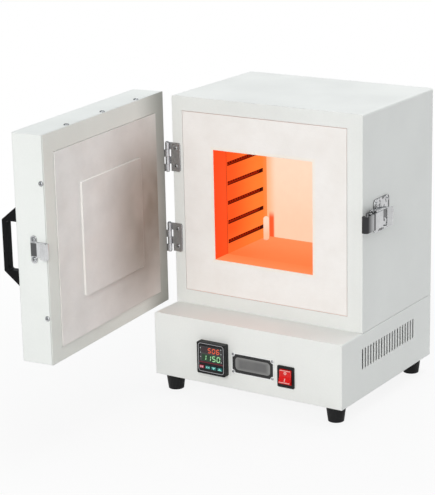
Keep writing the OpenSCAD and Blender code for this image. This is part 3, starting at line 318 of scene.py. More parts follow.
def heater_look(name):
    """Orange slats that lighten to the rear, a dark joint in front, and grooves between them darkened as
    painted shade.
    """
    look = Look(name, Roughness=0.9)
    along = look.span(look.y, PLATE_FRONT_Y, 0.055)
    slat = look.mix(along, srgb(255, 84, 20), srgb(255, 128, 44))
    slat = look.mix(look.span(look.y, 0.055, 0.070), slat, srgb(255, 140, 70))
    low = look.span(look.z, 0.235, 0.198, 0.0, 0.4)
    slat = look.mix(low, slat, srgb(255, 132, 60))
    across = look.math("ABSOLUTE", look.math("SUBTRACT", look.x, CHAMBER_X))
    # Painted shade: the grooves dark red, the same colour as the dark joint
    deep = look.span(across, CHAMBER_HALF + 0.0002, CHAMBER_HALF + 0.0016)
    joint_and_groove_shade = look.mix(look.span(look.noise(300.0, 3.0), 0.35, 0.7), srgb(44, 3, 0), srgb(84, 9, 0))
    joint = look.math("LESS_THAN", look.y, PLATE_FRONT_Y + 0.0009)
    heat = look.mix(look.math("MAXIMUM", deep, joint), slat, joint_and_groove_shade)
    look.relief(look.noise(240.0, 4.0), 0.3, 0.0004, 0.0006)
    look.set("Base Color", glowing(look, heat, 0.85))
    return look.mat


def hearth_look():
    look = Look("hearth", Roughness=0.9)
    heat = look.mix(look.span(look.y, PLATE_FRONT_Y, CHAMBER_BACK_Y), srgb(255, 128, 68), srgb(255, 140, 84))
    corner = look.math("MULTIPLY", look.span(look.x, -0.02, -0.088), look.span(look.y, 0.02, PLATE_FRONT_Y))
    heat = look.mix(look.math("MULTIPLY", corner, 0.6), heat, srgb(255, 110, 48))
    look.relief(look.noise(200.0, 4.0), 0.3, 0.0004, 0.0006)
    look.set("Base Color", glowing(look, heat, 0.85))
    return look.mat


def rear_look():
    """Palest wall of the chamber, with the sheath's soft red shadow and an orange left edge."""
    look = Look("rear wall", Roughness=0.9)
    rise = look.span(look.z, 0.2, 0.36)
    heat = look.mix(rise, srgb(255, 208, 178), srgb(254, 230, 206))
    edge = look.span(look.x, -0.070, CHAMBER_X - CHAMBER_HALF, 0.0, 0.75)
    heat = look.mix(edge, heat, srgb(255, 176, 120))
    across = look.math("ABSOLUTE", look.math("SUBTRACT", look.x, SHADOW_X))
    shadow = look.math("MULTIPLY", look.span(across, 0.0058, 0.0026), look.span(look.z, 0.238, 0.225))
    heat = look.mix(look.math("MULTIPLY", shadow, 0.95), heat, srgb(255, 84, 28))
    look.relief(look.noise(200.0, 4.0), 0.3, 0.0004, 0.0006)
    look.set("Base Color", glowing(look, heat, 0.84))
    return look.mat


def sheath_look():
    look = Look("ceramic sheath", Roughness=0.5)
    cold = look.mix(look.span(look.noise(80.0), 0.3, 0.7), srgb(236, 230, 220), srgb(222, 214, 202))
    hot = look.math("GREATER_THAN", look.z, 0.1965)
    heat = look.mix(look.span(look.z, 0.198, 0.228), srgb(255, 196, 160), srgb(252, 222, 200))
    glow = look.mix(hot, (0, 0, 0, 1), heat)
    look.relief(look.noise(500.0, 2.0), 0.1, 0.0002, 0.0004)
    look.set("Base Color", look.mix(hot, cold, glowing(look, glow, 0.8)))
    return look.mat


def coil_look():
    """Oxidised heating wire, dark red in the grooves and dull brown outside the chamber."""
    look = Look("heating wire", Metallic=0.5)
    scale = look.noise(500.0, 4.0)
    look.set("Roughness", look.span(scale, 0.3, 0.7, 0.45, 0.8))
    inside = look.math("LESS_THAN", look.y, CHAMBER_BACK_Y)
    heat = look.mix(look.span(scale, 0.3, 0.7), srgb(150, 26, 4), srgb(196, 44, 8))
    glow = look.mix(inside, (0, 0, 0, 1), heat)
    look.relief(scale, 0.3, 0.0001)
    cold = look.mix(look.span(scale, 0.3, 0.7), srgb(92, 78, 68), srgb(120, 104, 90))
    look.set("Base Color", look.mix(inside, cold, glowing(look, glow, 0.7)))
    return look.mat


def door_board_look():
    """Grey-beige ceramic board, browner towards the hinges, with painted shade growing towards the hinges and
    painted highlights along its edges.
    """
    look = Look("door board")
    body = fibre(look, srgb(240, 237, 234), srgb(230, 227, 224), 120.0)
    lx = look.along(DOOR_OUT, DOOR_OUT.dot(PIN))
    toward = look.span(lx, 0.225, 0.050)
    height = look.math("ABSOLUTE", look.math("SUBTRACT", look.z, 0.268))
    belt = look.span(height, 0.155, 0.03)
    drift = look.span(look.noise(9.0, 3.0), 0.3, 0.7, 0.8, 1.1)
    brown = look.math("MULTIPLY", look.math("MULTIPLY", toward, belt), drift)
    body = look.mix(look.math("MULTIPLY", brown, 0.88), body, srgb(122, 112, 98))
    # Painted shade, growing towards the hinges
    body = look.mix(look.math("MULTIPLY", toward, 0.3), body, srgb(158, 150, 138))
    rosy = look.span(look.noise(12.0, 2.0), 0.45, 0.7, 0.0, 0.2)
    body = look.mix(rosy, body, srgb(228, 218, 210))
    # Painted highlights: the edges paler
    edge = look.math("MULTIPLY", look.edge_wear_and_highlight(0.0016), 0.6)
    look.set("Base Color", look.mix(edge, body, srgb(240, 236, 230)))
    return look.mat


def rocker_look():
    look = Look("rocker red", Specular_IOR_Level=0.3, Coat_Weight=0.15, Coat_Roughness=0.12)
    deep = look.span(look.noise(90.0, 3.0), 0.3, 0.7)
    body = look.mix(deep, srgb(226, 12, 10), srgb(206, 6, 8))
    # Painted highlights: the rocker's edges pink
    look.set("Base Color", look.mix(look.edge_wear_and_highlight(0.0007), body, srgb(255, 120, 112)))
    look.set("Roughness", look.span(deep, 0.0, 1.0, 0.22, 0.34))
    look.relief(look.noise(1500.0, 2.0), 0.06, 0.0001, 0.0006)
    return look.mat


def window_look():
    """Smoked window: nearly black, glossy and faintly hazy."""
    look = Look("smoked window", Specular_IOR_Level=0.6, Coat_Weight=0.6, Coat_Roughness=0.06)
    haze = look.noise(60.0, 3.0)
    look.set("Base Color", look.mix(look.span(haze, 0.3, 0.7), srgb(20, 18, 20), srgb(34, 30, 32)))
    look.set("Roughness", look.span(haze, 0.3, 0.7, 0.12, 0.22))
    look.relief(look.noise(900.0, 2.0), 0.03, 0.0001, 0.0003)
    return look.mat


def lit(name, colour, strength, base=0.4):
    """A small lit mark with a fine uneven grain."""
    look = Look(name, Roughness=0.35)
    dimmer = tuple(c * 0.8 for c in colour[:3]) + (1.0,)
    body = look.mix(look.span(look.noise(700.0), 0.2, 0.8), colour, dimmer)
    look.set("Base Color", glowing(look, body, strength, base))
    return look.mat


def printed(name, colour, rough=0.45):
    """Printed or inked mark with a slightly uneven film."""
    look = Look(name)
    film = look.noise(900.0, 3.0)
    thin = tuple(c * 0.86 for c in colour[:3]) + (1.0,)
    look.set("Base Color", look.mix(look.span(film, 0.3, 0.7), colour, thin))
    look.set("Roughness", look.span(film, 0.3, 0.7, rough - 0.06, rough + 0.08))
    look.relief(film, 0.08, 0.0001)
    return look.mat


def plate_window_look():
    """Frosted grey middle of the bare plate, lighter along its edge."""
    look = Look("frosted grey", Specular_IOR_Level=0.4)
    across = look.math("ABSOLUTE", look.math("SUBTRACT", look.x, PLATE_X))
    upright = look.math("ABSOLUTE", look.math("SUBTRACT", look.z, PLATE_Z))
    edge = look.math("MAXIMUM", look.span(across, 0.020, 0.0295), look.span(upright, 0.0045, 0.0102))
    haze = look.span(look.noise(40.0, 4.0), 0.3, 0.7, 0.0, 0.5)
    body = look.mix(haze, srgb(104, 104, 104), srgb(122, 122, 121))
    body = look.mix(look.math("MULTIPLY", edge, 0.7), body, srgb(150, 150, 148))
    look.set("Base Color", body)
    look.set("Roughness", look.span(look.noise(300.0), 0.3, 0.7, 0.4, 0.6))
    look.relief(look.noise(1200.0, 2.0), 0.1, 0.0001, 0.0004)
    return look.mat


def corner_painted_shade(look):
    """Share of painted shade in the corners of a fitting."""
    shut = look.node("ShaderNodeAmbientOcclusion", samples=8)
    shut.inputs["Distance"].default_value = 0.005
    return look.span(shut.outputs["AO"], 0.85, 0.35, 0.0, 0.9)


def hinge_painted_shade(look):
    """Share of painted shade, which grows towards the hinges."""
    return look.span(look.along(DOOR_OUT, DOOR_OUT.dot(PIN)), 0.09, 0.006, 0.0, 0.75)


def keeper_painted_reflection(look):
    """Painted dark reflection in the middle of the keeper's plate, and painted shade in its corners."""
    height = look.math("ABSOLUTE", look.math("SUBTRACT", look.z, LATCH_Z))
    plate = look.span(look.x, -0.1528, -0.1542)
    middle = look.math("MULTIPLY", plate, look.span(height, 0.0100, 0.0085, 0.0, 0.85))
    return look.math("MAXIMUM", middle, corner_painted_shade(look))


def claw_painted_shade(look):
    """Painted shade: a dark curl in front of the claw, a dark line behind it, and shade in the corners."""
    curl = look.span(look.y, -0.074, -0.091, 0.3, 0.95)
    line = look.span(look.math("ABSOLUTE", look.math("ADD", look.y, 0.0715)), 0.0032, 0.0014, 0.0, 0.9)
    front = look.math("MULTIPLY", curl, look.span(look.y, -0.070, -0.072))
    return look.math("MAXIMUM", look.math("MAXIMUM", front, line), corner_painted_shade(look))


def latch_base_painted_reflections(look):
    """Painted reflections: dark patches in place of a polished pressing's reflections, a dark line at its
    rear end, and painted shade in the corners.
    """
    dark = look.span(look.noise(110.0, 2.0), 0.50, 0.58, 0.0, 0.75)
    end = look.span(look.y, -0.0058, -0.0040, 0.0, 0.9)
    return look.math("MAXIMUM", look.math("MAXIMUM", dark, end), corner_painted_shade(look))


WHITE = painted("white powder coat", srgb(239, 240, 237))
DOOR_WHITE = painted("door powder coat", srgb(239, 241, 238))
# Door frame paint, with painted shade towards the hinges
FRAME_GREY = painted("door frame paint", srgb(230, 232, 226), 0.0009, 0.4, hinge_painted_shade)
STEEL = metal("satin steel", srgb(176, 177, 178), 0.3, (1.0, 1.0, 0.06), 0.2)
# Hinge, latch and screw steels carry painted shade in their corners; keeper, latch base and claw also carry
# painted dark reflections
HINGE_STEEL = metal("hinge steel", srgb(214, 214, 217), 0.34, (0.2, 0.2, 1.0), 0.25, 0.0005, 0.25, corner_painted_shade)
CHROME = metal("polished steel", srgb(205, 206, 207), 0.1, (1.0, 1.0, 0.1), 0.08, 0.0005, 0.12, corner_painted_shade)
KEEPER_STEEL = metal("keeper steel", srgb(216, 217, 218), 0.12, (1.0, 1.0, 0.1), 0.08, 0.0005, 0.12,
                     keeper_painted_reflection)
BASE_STEEL = metal("latch base steel", srgb(205, 206, 207), 0.14, (1.0, 1.0, 0.1), 0.08, 0.0005, 0.12,
                   latch_base_painted_reflections)
CLAW_STEEL = metal("claw steel", srgb(205, 206, 207), 0.14, (1.0, 1.0, 0.1), 0.08, 0.0005, 0.12, claw_painted_shade)
SCREW_STEEL = metal("plated screws", srgb(196, 198, 200), 0.22, (1.0, 1.0, 1.0), 0.1, 0.0002, 0.25, corner_painted_shade)
ALUMINIUM = metal("extruded aluminium", srgb(200, 200, 204), 0.35, (1.0, 0.05, 1.0), 0.25)
RUBBER = plastic("foot rubber", srgb(24, 24, 25), 0.62, 500.0, 0.3, 0.0005, 0.2, 0.03)
GLAND = plastic("gland plastic", srgb(40, 40, 42), 0.5)
BLACK = plastic("black plastic", srgb(18, 18, 19), 0.42, 650.0, 0.12, 0.0005, 0.25, 0.03)
HANDLE = plastic("handle black", srgb(9, 9, 10), 0.35, 550.0, 0.18, 0.0012, 0.12, 0.006)
KEY_RED = plastic("key red", srgb(132, 34, 52), 0.4, 900.0, 0.08)
KEY_GREEN = plastic("key green", srgb(22, 108, 108), 0.4, 900.0, 0.08)
WINDOW = window_look()
ROCKER = rocker_look()
COIL = coil_look()
RED_DIGIT = lit("red digits", srgb(236, 96, 60), 0.75)
GREEN_DIGIT = lit("green digits", srgb(168, 236, 172), 0.75)
LAMP_WHITE = lit("indicator marks", srgb(206, 214, 212), 0.5)
RED_FIELD = printed("red display field", srgb(48, 32, 36))
GREEN_FIELD = printed("green display field", srgb(10, 56, 26))
PRINT_SILVER = printed("silver print", srgb(186, 186, 190))
PRINT_RED = printed("red print", srgb(128, 20, 44))
PRINT_BLACK = printed("black print", srgb(22, 22, 22))
PRINT_WHITE = printed("white print", srgb(250, 190, 184))
KEY_PRINT = printed("key print", srgb(150, 234, 220))
KEY_PRINT_RED = printed("red key print", srgb(250, 168, 182))
PLATE_RIM = painted("plate rim paint", srgb(247, 248, 248), 0.0004, 0.3)
PLATE_WINDOW = plate_window_look()


def terminal_look():
    look = Look("glazed ceramic", Coat_Weight=0.4, Coat_Roughness=0.15)
    clouds = look.noise(60.0, 3.0)
    look.set("Base Color", look.mix(look.span(clouds, 0.3, 0.7), srgb(238, 234, 224), srgb(228, 222, 208)))
    look.set("Roughness", look.span(clouds, 0.3, 0.7, 0.25, 0.4))
    look.relief(clouds, 0.1, 0.0003, 0.0006)
    return look.mat


def inner_board_look():
    look = Look("fibre board")
    look.set("Base Color", fibre(look, srgb(236, 232, 224), srgb(222, 216, 206)))
    return look.mat


def hearth_roof_look():
    look = Look("chamber roof", Roughness=0.9)
    heat = look.mix(look.span(look.y, PLATE_FRONT_Y, CHAMBER_BACK_Y), srgb(255, 140, 80), srgb(255, 166, 116))
    look.relief(look.noise(200.0, 4.0), 0.3, 0.0004, 0.0006)
    look.set("Base Color", glowing(look, heat, 0.85))
    return look.mat


FIBRE = inner_board_look()
CLOTHES = {
    "base_shell": WHITE, "base_floor": WHITE, "base_back": WHITE, "casing_shell": WHITE, "casing_back": WHITE,
    "cable_gland": GLAND, "foot_front_left": RUBBER, "foot_front_right": RUBBER, "foot_rear_left": RUBBER,
    "foot_rear_right": RUBBER, "foot_screws": STEEL, "cover_screws": SCREW_STEEL,
    "front_board": front_board_look(), "hearth_board": hearth_look(), "roof_board": hearth_roof_look(),
    "side_board_left": FIBRE, "side_board_right": FIBRE, "rear_board": rear_look(),
    "heater_plate_left": heater_look("heater plate left"),
    "heater_plate_right": heater_look("heater plate right"),
    "heating_coil_left": COIL, "heating_coil_right": COIL, "coil_terminals": terminal_look(),
    "thermocouple": sheath_look(), "relay": BLACK, "heat_sink": ALUMINIUM, "controller_case": BLACK,
    "controller_window": WINDOW, "controller_clamp": BLACK, "controller_key_1": KEY_RED,
    "controller_key_2": KEY_GREEN, "controller_key_3": KEY_GREEN, "controller_key_4": KEY_GREEN,
    "bare_plate": PLATE_RIM, "plate_screws": SCREW_STEEL, "switch_bezel": BLACK, "switch_rocker": ROCKER,
    "latch_base": BASE_STEEL, "latch_rivets": CHROME, "lever_pin": CHROME, "latch_lever": CHROME,
    "claw_pin": CHROME, "latch_claw": CLAW_STEEL, "hinge_upper_casing_leaf": HINGE_STEEL,
    "hinge_lower_casing_leaf": HINGE_STEEL, "hinge_upper_pin": STEEL, "hinge_lower_pin": STEEL,
    "casing_hinge_screws": SCREW_STEEL, "hinge_upper_door_leaf": HINGE_STEEL,
    "hinge_lower_door_leaf": HINGE_STEEL, "door_hinge_screws": SCREW_STEEL, "door_pan": DOOR_WHITE,
    "door_frame": FRAME_GREY, "door_board": door_board_look(), "door_insulation": FIBRE,
    "door_handle": HANDLE, "door_screws": SCREW_STEEL, "keeper": KEEPER_STEEL}

for name, obj in NODES.items():
    for place in obj.material_slots:
        place.material = CLOTHES[name]


class Shape:
    """Vertices and faces of one piece, gathered from several bodies."""

    def __init__(self):
        self.points = []
        self.faces = []

    def add(self, points, faces, place=None):
        start = len(self.points)
        self.points += [tuple(place @ Vector(p)) if place else tuple(p) for p in points]
        self.faces += [tuple(start + i for i in f) for f in faces]

    def prism(self, outline, depth, place):
        """A flat outline in the local XY plane, raised by depth along local Z."""
        n = len(outline)
        points = [(x, y, 0.0) for x, y in outline] + [(x, y, depth) for x, y in outline]
        faces = [tuple(range(n))[::-1], tuple(range(n, 2 * n))]
        faces += [(i, (i + 1) % n, n + (i + 1) % n, n + i) for i in range(n)]
        self.add(points, faces, place)

    def ring(self, outer, inner, depth, place):
        """The band between two outlines with the same number of points."""
        n = len(outer)
        points = [(x, y, z) for z in (0.0, depth) for x, y in list(outer) + list(inner)]
        faces = []
        for i in range(n):
            j = (i + 1) % n
            faces += [(i, j, n + j, n + i)[::-1], (2 * n + i, 2 * n + j, 3 * n + j, 3 * n + i),
                      (i, j, 2 * n + j, 2 * n + i), (n + i, n + j, 3 * n + j, 3 * n + i)[::-1]]
        self.add(points, faces, place)


def finish_piece(name, shape, look, body, replaces=(), sharp=35.0):
    mesh = bpy.data.meshes.new(name)
    mesh.from_pydata(shape.points, [], shape.faces)
    mesh.validate()
    mesh.polygons.foreach_set("use_smooth", [True] * len(mesh.polygons))
    mesh.set_sharp_from_angle(angle=math.radians(sharp))
    mesh.update()
    obj = bpy.data.objects.new(name, mesh)
    bpy.context.scene.collection.objects.link(obj)
    mesh.materials.append(look)
    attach(obj, body)
    if replaces:
        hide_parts(*replaces)
    return obj


def facing(point, normal, up=Vector((0, 0, 1)), turn=0.0):
    """Matrix that puts local Z along normal and local Y near up, at point, turned about normal."""
    z = Vector(normal).normalized()
    if abs(z.dot(up)) > 0.99:
        up = Vector((0, 1, 0))
    x = Vector(up).cross(z).normalized()
    y = z.cross(x)
    basis = Matrix((x, y, z)).transposed().to_4x4()
    return Matrix.Translation(point) @ basis @ Matrix.Rotation(turn, 4, "Z")


def circle(radius, count, start=0.0):
    angles = [start + 2 * math.pi * i / count for i in range(count)]
    return [(radius * math.cos(a), radius * math.sin(a)) for a in angles]


def round_rect(w, h, r, steps=6):
    """Outline of a rectangle with round corners, about the origin."""
    outline = []
    for cx, cy, start in ((1, 1, 0), (-1, 1, 90), (-1, -1, 180), (1, -1, 270)):
        for k in range(steps + 1):
            a = math.radians(start + 90 * k / steps)
            outline.append((cx * (w / 2 - r) + r * math.cos(a), cy * (h / 2 - r) + r * math.sin(a)))
    return outline


def cross_outline(half, width):
    """Plus sign of 32 points, anticlockwise from +X."""
    side = width / 2
    between = (half + side) / 2
    quarter = [(half, 0), (half, width / 4), (half, side), (between, side),
               (side, side), (side, between), (side, half), (width / 4, half)]
    outline = []
    for k in range(4):
        c, s = (1, 0, -1, 0)[k], (0, 1, 0, -1)[k]
        outline += [(c * x - s * y, s * x + c * y) for x, y in quarter]
    return outline


def add_screw(shape, place, head, height, shank, grip):
    """Pan head with a tapered cross recess, seated at local z = 0, and its shank below."""
    r = head / 2
    steps = 32

    def top(radius):
        return height * (1 - 0.12 * (radius / (0.62 * r)) ** 2)

    half, width = 0.46 * r, 0.2 * r
    mouth = cross_outline(half, width)
    floor = [(0.78 * x, 0.78 * y) for x, y in mouth]
    rings = [[(x, y, height * 0.38) for x, y in floor],
             [(x, y, top(math.hypot(x, y)) - 0.04 * height) for x, y in mouth],
             [(1.05 * x, 1.05 * y, top(math.hypot(x, y))) for x, y in mouth]]
    for radius, z in ((0.62 * r, top(0.62 * r)), (0.8 * r, 0.8 * height), (0.93 * r, 0.58 * height),
                      (r, 0.26 * height), (r, 0.0), (shank / 2, 0.0), (shank / 2, -grip)):
        rings.append([(x, y, z) for x, y in circle(radius, steps)])
    points = [p for ring in rings for p in ring]
    faces = [tuple(range(steps)), tuple(range(len(points) - steps, len(points)))[::-1]]
    for k in range(len(rings) - 1):
        for i in range(steps):
            j = (i + 1) % steps
            a, b = k * steps, (k + 1) * steps
            faces.append((a + i, b + i, b + j, a + j))
    shape.add(points, faces, place)


def screws(name, places, sizes, body, node):
    """Screws at (point, direction), each turned its own way."""
    shape = Shape()
    dice = random.Random(name)
    for index, (point, normal) in enumerate(places):
        size = sizes[index] if isinstance(sizes, list) else sizes
        add_screw(shape, facing(point, normal, turn=dice.uniform(0, math.pi / 2)), *(v * MM for v in size))
    return finish_piece(name, shape, SCREW_STEEL, body, (node,), 30.0)


# Screws with cross recesses, in place of the plain heads
# Sizes are head diameter, head height, shank diameter and shank length in mm
SHEET_SCREW = (7.4, 1.8, 4, 6)
HANDLE_SCREW = (7.4, 1.8, 3, 9.2)
HINGE_SCREW = (6.8, 1.1, 3.6, 6.2)
PLATE_SCREW = (4.2, 1, 2.4, 5.8)

# Places on the door in mm: along it from the hinge axis, across it, and up
DOOR_MID, DOOR_MID_Z = 165, 282.1
DOOR_FREE_EDGE, DOOR_HINGE_EDGE = 326, 4
DOOR_TOP_Z, DOOR_FOOT_Z = 440.6, 123.6
EDGE_SCREW_IN, EDGE_SCREW_PITCH = -8.7, 93
KEEPER_FACE, KEEPER_IN, KEEPER_SCREW_Z = 327.5, -24.2, 13.6
HANDLE_ALONG, HANDLE_IN, HANDLE_MID_Z, HANDLE_SCREW_Z = 314, -51, 282.6, 45

door_places = []
for k in (-1, 0, 1):
    for z, way in ((DOOR_TOP_Z, 1), (DOOR_FOOT_Z, -1)):
        point = door_point(DOOR_MID + EDGE_SCREW_PITCH * k, EDGE_SCREW_IN, z)
        door_places.append((point, Vector((0, 0, way))))
for k in (-1, 1):
    edge_z = DOOR_MID_Z + EDGE_SCREW_PITCH * k
    door_places.append((door_point(DOOR_FREE_EDGE, EDGE_SCREW_IN, edge_z), DOOR_OUT))
    door_places.append((door_point(DOOR_HINGE_EDGE, EDGE_SCREW_IN, edge_z), -DOOR_OUT))
    door_places.append((door_point(KEEPER_FACE, KEEPER_IN, LATCH_Z / MM + KEEPER_SCREW_Z * k), DOOR_OUT))
door_sizes = [SHEET_SCREW] * len(door_places)
for k in (-1, 1):
    door_places.append((door_point(HANDLE_ALONG, HANDLE_IN, HANDLE_MID_Z + HANDLE_SCREW_Z * k), DOOR_IN))
    door_sizes.append(HANDLE_SCREW)
screws("screws_door", door_places, door_sizes, "door", "door_screws")

# Places on the back and the front in mm
COVER_SCREW_X = 144.3
COVER_MID_Z, COVER_SCREW_PITCH = 278, 143
BASE_SCREW_Z = 73
PLATE_SCREW_X, PLATE_SCREW_Z = 32.9, 13.1
HINGE_HEIGHTS = (221.1, 343.1)
HINGE_SCREW_Z = 13.5
CASING_LEAF_X, CASING_LEAF_Y = -151.9, -79.5
DOOR_LEAF_FACE, DOOR_LEAF_IN = 2, -19.2

back_places = []
for i in (-1, 0, 1):
    for k in (-1, 0, 1):
        if i or k:
            point = mm(COVER_SCREW_X * i, BACK_Y / MM, COVER_MID_Z + COVER_SCREW_PITCH * k)
            back_places.append((point, BACK))
back_places += [(mm(COVER_SCREW_X * i, BACK_Y / MM, BASE_SCREW_Z), BACK) for i in (-1, 1)]
screws("screws_covers", back_places, SHEET_SCREW, "cabinet", "cover_screws")
plate_places = []
for i in (-1, 1):
    for k in (-1, 1):
        middle = Vector((PLATE_X, PLATE_Y, PLATE_Z))
        plate_places.append((middle + mm(PLATE_SCREW_X * i, 0, PLATE_SCREW_Z * k), FRONT))
screws("screws_plate", plate_places, PLATE_SCREW, "cabinet", "plate_screws")
hinge_heights = [z + s * HINGE_SCREW_Z for z in HINGE_HEIGHTS for s in (-1, 1)]
screws("screws_casing_leaves", [(mm(CASING_LEAF_X, CASING_LEAF_Y, z), FRONT) for z in hinge_heights],
       HINGE_SCREW, "cabinet", "casing_hinge_screws")
screws("screws_door_leaves",
       [(door_point(DOOR_LEAF_FACE, DOOR_LEAF_IN, z), -DOOR_OUT) for z in hinge_heights],
       HINGE_SCREW, "door", "door_hinge_screws")

foot_shape = Shape()
for x in (-136.5, 136.5):
    for y in (-116.5, 116.5):
        head = facing(mm(x, y, 17), Vector((0, 0, -1)), turn=x + y)
        add_screw(foot_shape, head, 0.010, 0.003, 0.005, 0.0162)
        nut = facing(mm(x, y, 26.2), Vector((0, 0, 1)), turn=x - y)
        foot_shape.ring(circle(0.0045, 6), circle(0.002, 6), 0.004, nut)
finish_piece("screws_feet", foot_shape, STEEL, "cabinet", ("foot_screws",), 30.0)


# Fuller coils in the grooves, one unbroken wire a side
def coil_path(side):
    axis_x = CHAMBER_X + side * (CHAMBER_HALF + 0.0085)
    radius = 0.0044
    turns, steps = 14, 16
    y0, y1 = -0.0375, 0.0575
    heights = [0.2135 + 0.0295 * i for i in range(5)]
    points = [(axis_x + side * radius, 0.128, heights[4])]
    for i in range(4, -1, -1):
        backwards = (4 - i) % 2 == 0
        for k in range(turns * steps + 1):
            a = 2 * math.pi * k / steps
            t = k / (turns * steps)
            y = y1 + (y0 - y1) * t if backwards else y0 + (y1 - y0) * t
            points.append((axis_x + side * radius * math.cos(a), y, heights[i] - radius * math.sin(a)))
    points.append((axis_x + side * radius, y0, 0.20075))
    points.append((axis_x + side * radius, 0.128, 0.20075))
    return points


for side, name in ((-1, "left"), (1, "right")):
    curve = bpy.data.curves.new("coil_" + name, "CURVE")
    curve.dimensions = "3D"
    curve.bevel_depth = 0.0008
    curve.bevel_resolution = 2
    curve.use_fill_caps = True
    path = coil_path(side)
    spline = curve.splines.new("POLY")
    spline.points.add(len(path) - 1)
    for point, p in zip(spline.points, path):
        point.co = (*p, 1.0)
    coil = bpy.data.objects.new("coil_" + name, curve)
    bpy.context.scene.collection.objects.link(coil)
    curve.materials.append(COIL)
    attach(coil, "cabinet")
    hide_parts("heating_coil_" + name)


# Controller: display, printed outline and marks on the keys
SEGMENTS = {"0": "abcdef", "1": "bc", "2": "abdeg", "3": "abcdg", "4": "bcfg", "5": "acdfg",
            "6": "acdefg", "7": "abc", "8": "abcdefg", "9": "abcdfg"}


def digits(shape, text, left, low, width, height, pitch, bar, surface_y):
    """Seven-segment digits on a face towards -Y, each bar a flat hexagon."""
    middle = height / 2
    bars = {"a": ((0, height), (width, height)), "b": ((width, middle), (width, height)),
            "c": ((width, 0), (width, middle)), "d": ((0, 0), (width, 0)), "e": ((0, 0), (0, middle)),
            "f": ((0, middle), (0, height)), "g": ((0, middle), (width, middle))}
    slant = 0.10
    for index, character in enumerate(text):
        for key in SEGMENTS[character]:
            (ax, az), (bx, bz) = bars[key]
            length = math.hypot(bx - ax, bz - az)
            ux, uz = (bx - ax) / length, (bz - az) / length
            gap, h = bar * 0.12, bar / 2
            outline = []
            for t, s in ((gap, 0), (gap + h, -h), (length - gap - h, -h), (length - gap, 0),
                         (length - gap - h, h), (gap + h, h)):
                x = ax + ux * t - uz * s
                z = az + uz * t + ux * s
                outline.append((x + slant * z, z))
            place = facing(mm(left + index * pitch, surface_y / MM, low), FRONT)
            shape.prism(in_mm(outline), LIT_T, place)


def on_front(shape, outline, x, y, z, depth):
    """A flat outline in mm on a face towards -Y."""
    shape.prism(in_mm(outline), depth, facing(mm(x, y, z), FRONT))


fields = (("red", RED_FIELD, -53.6, 80.2, 9.2), ("green", GREEN_FIELD, -52.8, 68.6, 10.2))
for name, look, x, z, height in fields:
    field = Shape()
    on_front(field, round_rect(32.4, height, 0.8, 3), x, WINDOW_Y / MM, z, FIELD_T)
    finish_piece("display_field_" + name, field, look, "cabinet")
red = Shape()
digits(red, "506", -58.2, 76.9, 4.4, 6.6, 7.2, 1.25, WINDOW_Y - FIELD_T)
finish_piece("digits_red", red, RED_DIGIT, "cabinet")
green = Shape()
digits(green, "1150", -66.8, 64.9, 4.6, 7.4, 7.9, 1.25, WINDOW_Y - FIELD_T)
finish_piece("digits_green", green, GREEN_DIGIT, "cabinet")

lamps = Shape()
for x, z in ((-71.2, 82.4), (-71.2, 75.5), (-71.2, 68.9), (-35.9, 84.4), (-35.7, 77.6), (-35.6, 65.0)):
    on_front(lamps, round_rect(1.4, 1.3, 0.35, 3), x, WINDOW_Y / MM, z, LIT_T)
finish_piece("indicator_marks", lamps, LAMP_WHITE, "cabinet")


DISPLAY_X = -53.2
BEZEL_PRINT_T = 0.00012
outline = Shape()
outline.ring(in_mm(round_rect(43.6, 43.4, 4.2)), in_mm(round_rect(42.2, 42.0, 3.5)),
             BEZEL_PRINT_T, facing(mm(DISPLAY_X, BEZEL_Y / MM, 68.5), FRONT))
finish_piece("display_outline", outline, PRINT_SILVER, "cabinet")
red_line = Shape()
on_front(red_line, round_rect(41.6, 1.1, 0.4, 2), DISPLAY_X, BEZEL_Y / MM, 61.4, BEZEL_PRINT_T)
finish_piece("display_line", red_line, PRINT_RED, "cabinet")


def key_mark(kind):
    """Plain shapes on the keys: two bars, two arrows to the left, one down and one up."""
    if kind == 0:
        return [[(x + s * 1.5, z) for x, z in round_rect(2.3, 3.0, 0.5, 2)] for s in (-1, 1)]
    if kind == 1:
        return [[(-3.3, 0), (-0.5, -1.9), (-0.5, 1.9)], [(0.1, 0), (2.9, -1.9), (2.9, 1.9)]]
    if kind == 2:
        return [[(0, -2.0), (3.2, 1.7), (-3.2, 1.7)]]
    return [[(0, 2.0), (-3.2, -1.7), (3.2, -1.7)]]


for index in range(4):
    low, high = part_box(f"controller_key_{index + 1}")
    middle = (low + high) / 2
    mark = Shape()
    for shape_outline in key_mark(index):
        on_front(mark, shape_outline, middle.x * 1000, low.y * 1000, middle.z * 1000, KEY_PRINT_T)
    finish_piece(f"key_mark_{index + 1}", mark, KEY_PRINT if index else KEY_PRINT_RED, f"key_{index + 1}")


# Bare plate: black border cut round the screws, and a frosted middle
def notched(w, h, notch, steps):
    """Rectangle about the origin whose corners are cut by quarter circles, round its corner points."""
    points = []
    for cx, cy, start in ((1, 1, 270), (-1, 1, 0), (-1, -1, 90), (1, -1, 180)):
        for k in range(steps + 1):
            a = math.radians(start - 90 * k / steps)
            points.append((cx * w / 2 + notch * math.cos(a), cy * h / 2 + notch * math.sin(a)))
    return points


border = Shape()
border.ring(in_mm(notched(68.2, 28.4, 4.6, 6)), in_mm(round_rect(58.8, 19.4, 5.5, 6)),
            PRINT_T, facing(Vector((PLATE_X, PLATE_Y, PLATE_Z)), FRONT))
finish_piece("plate_border", border, PRINT_BLACK, "cabinet")


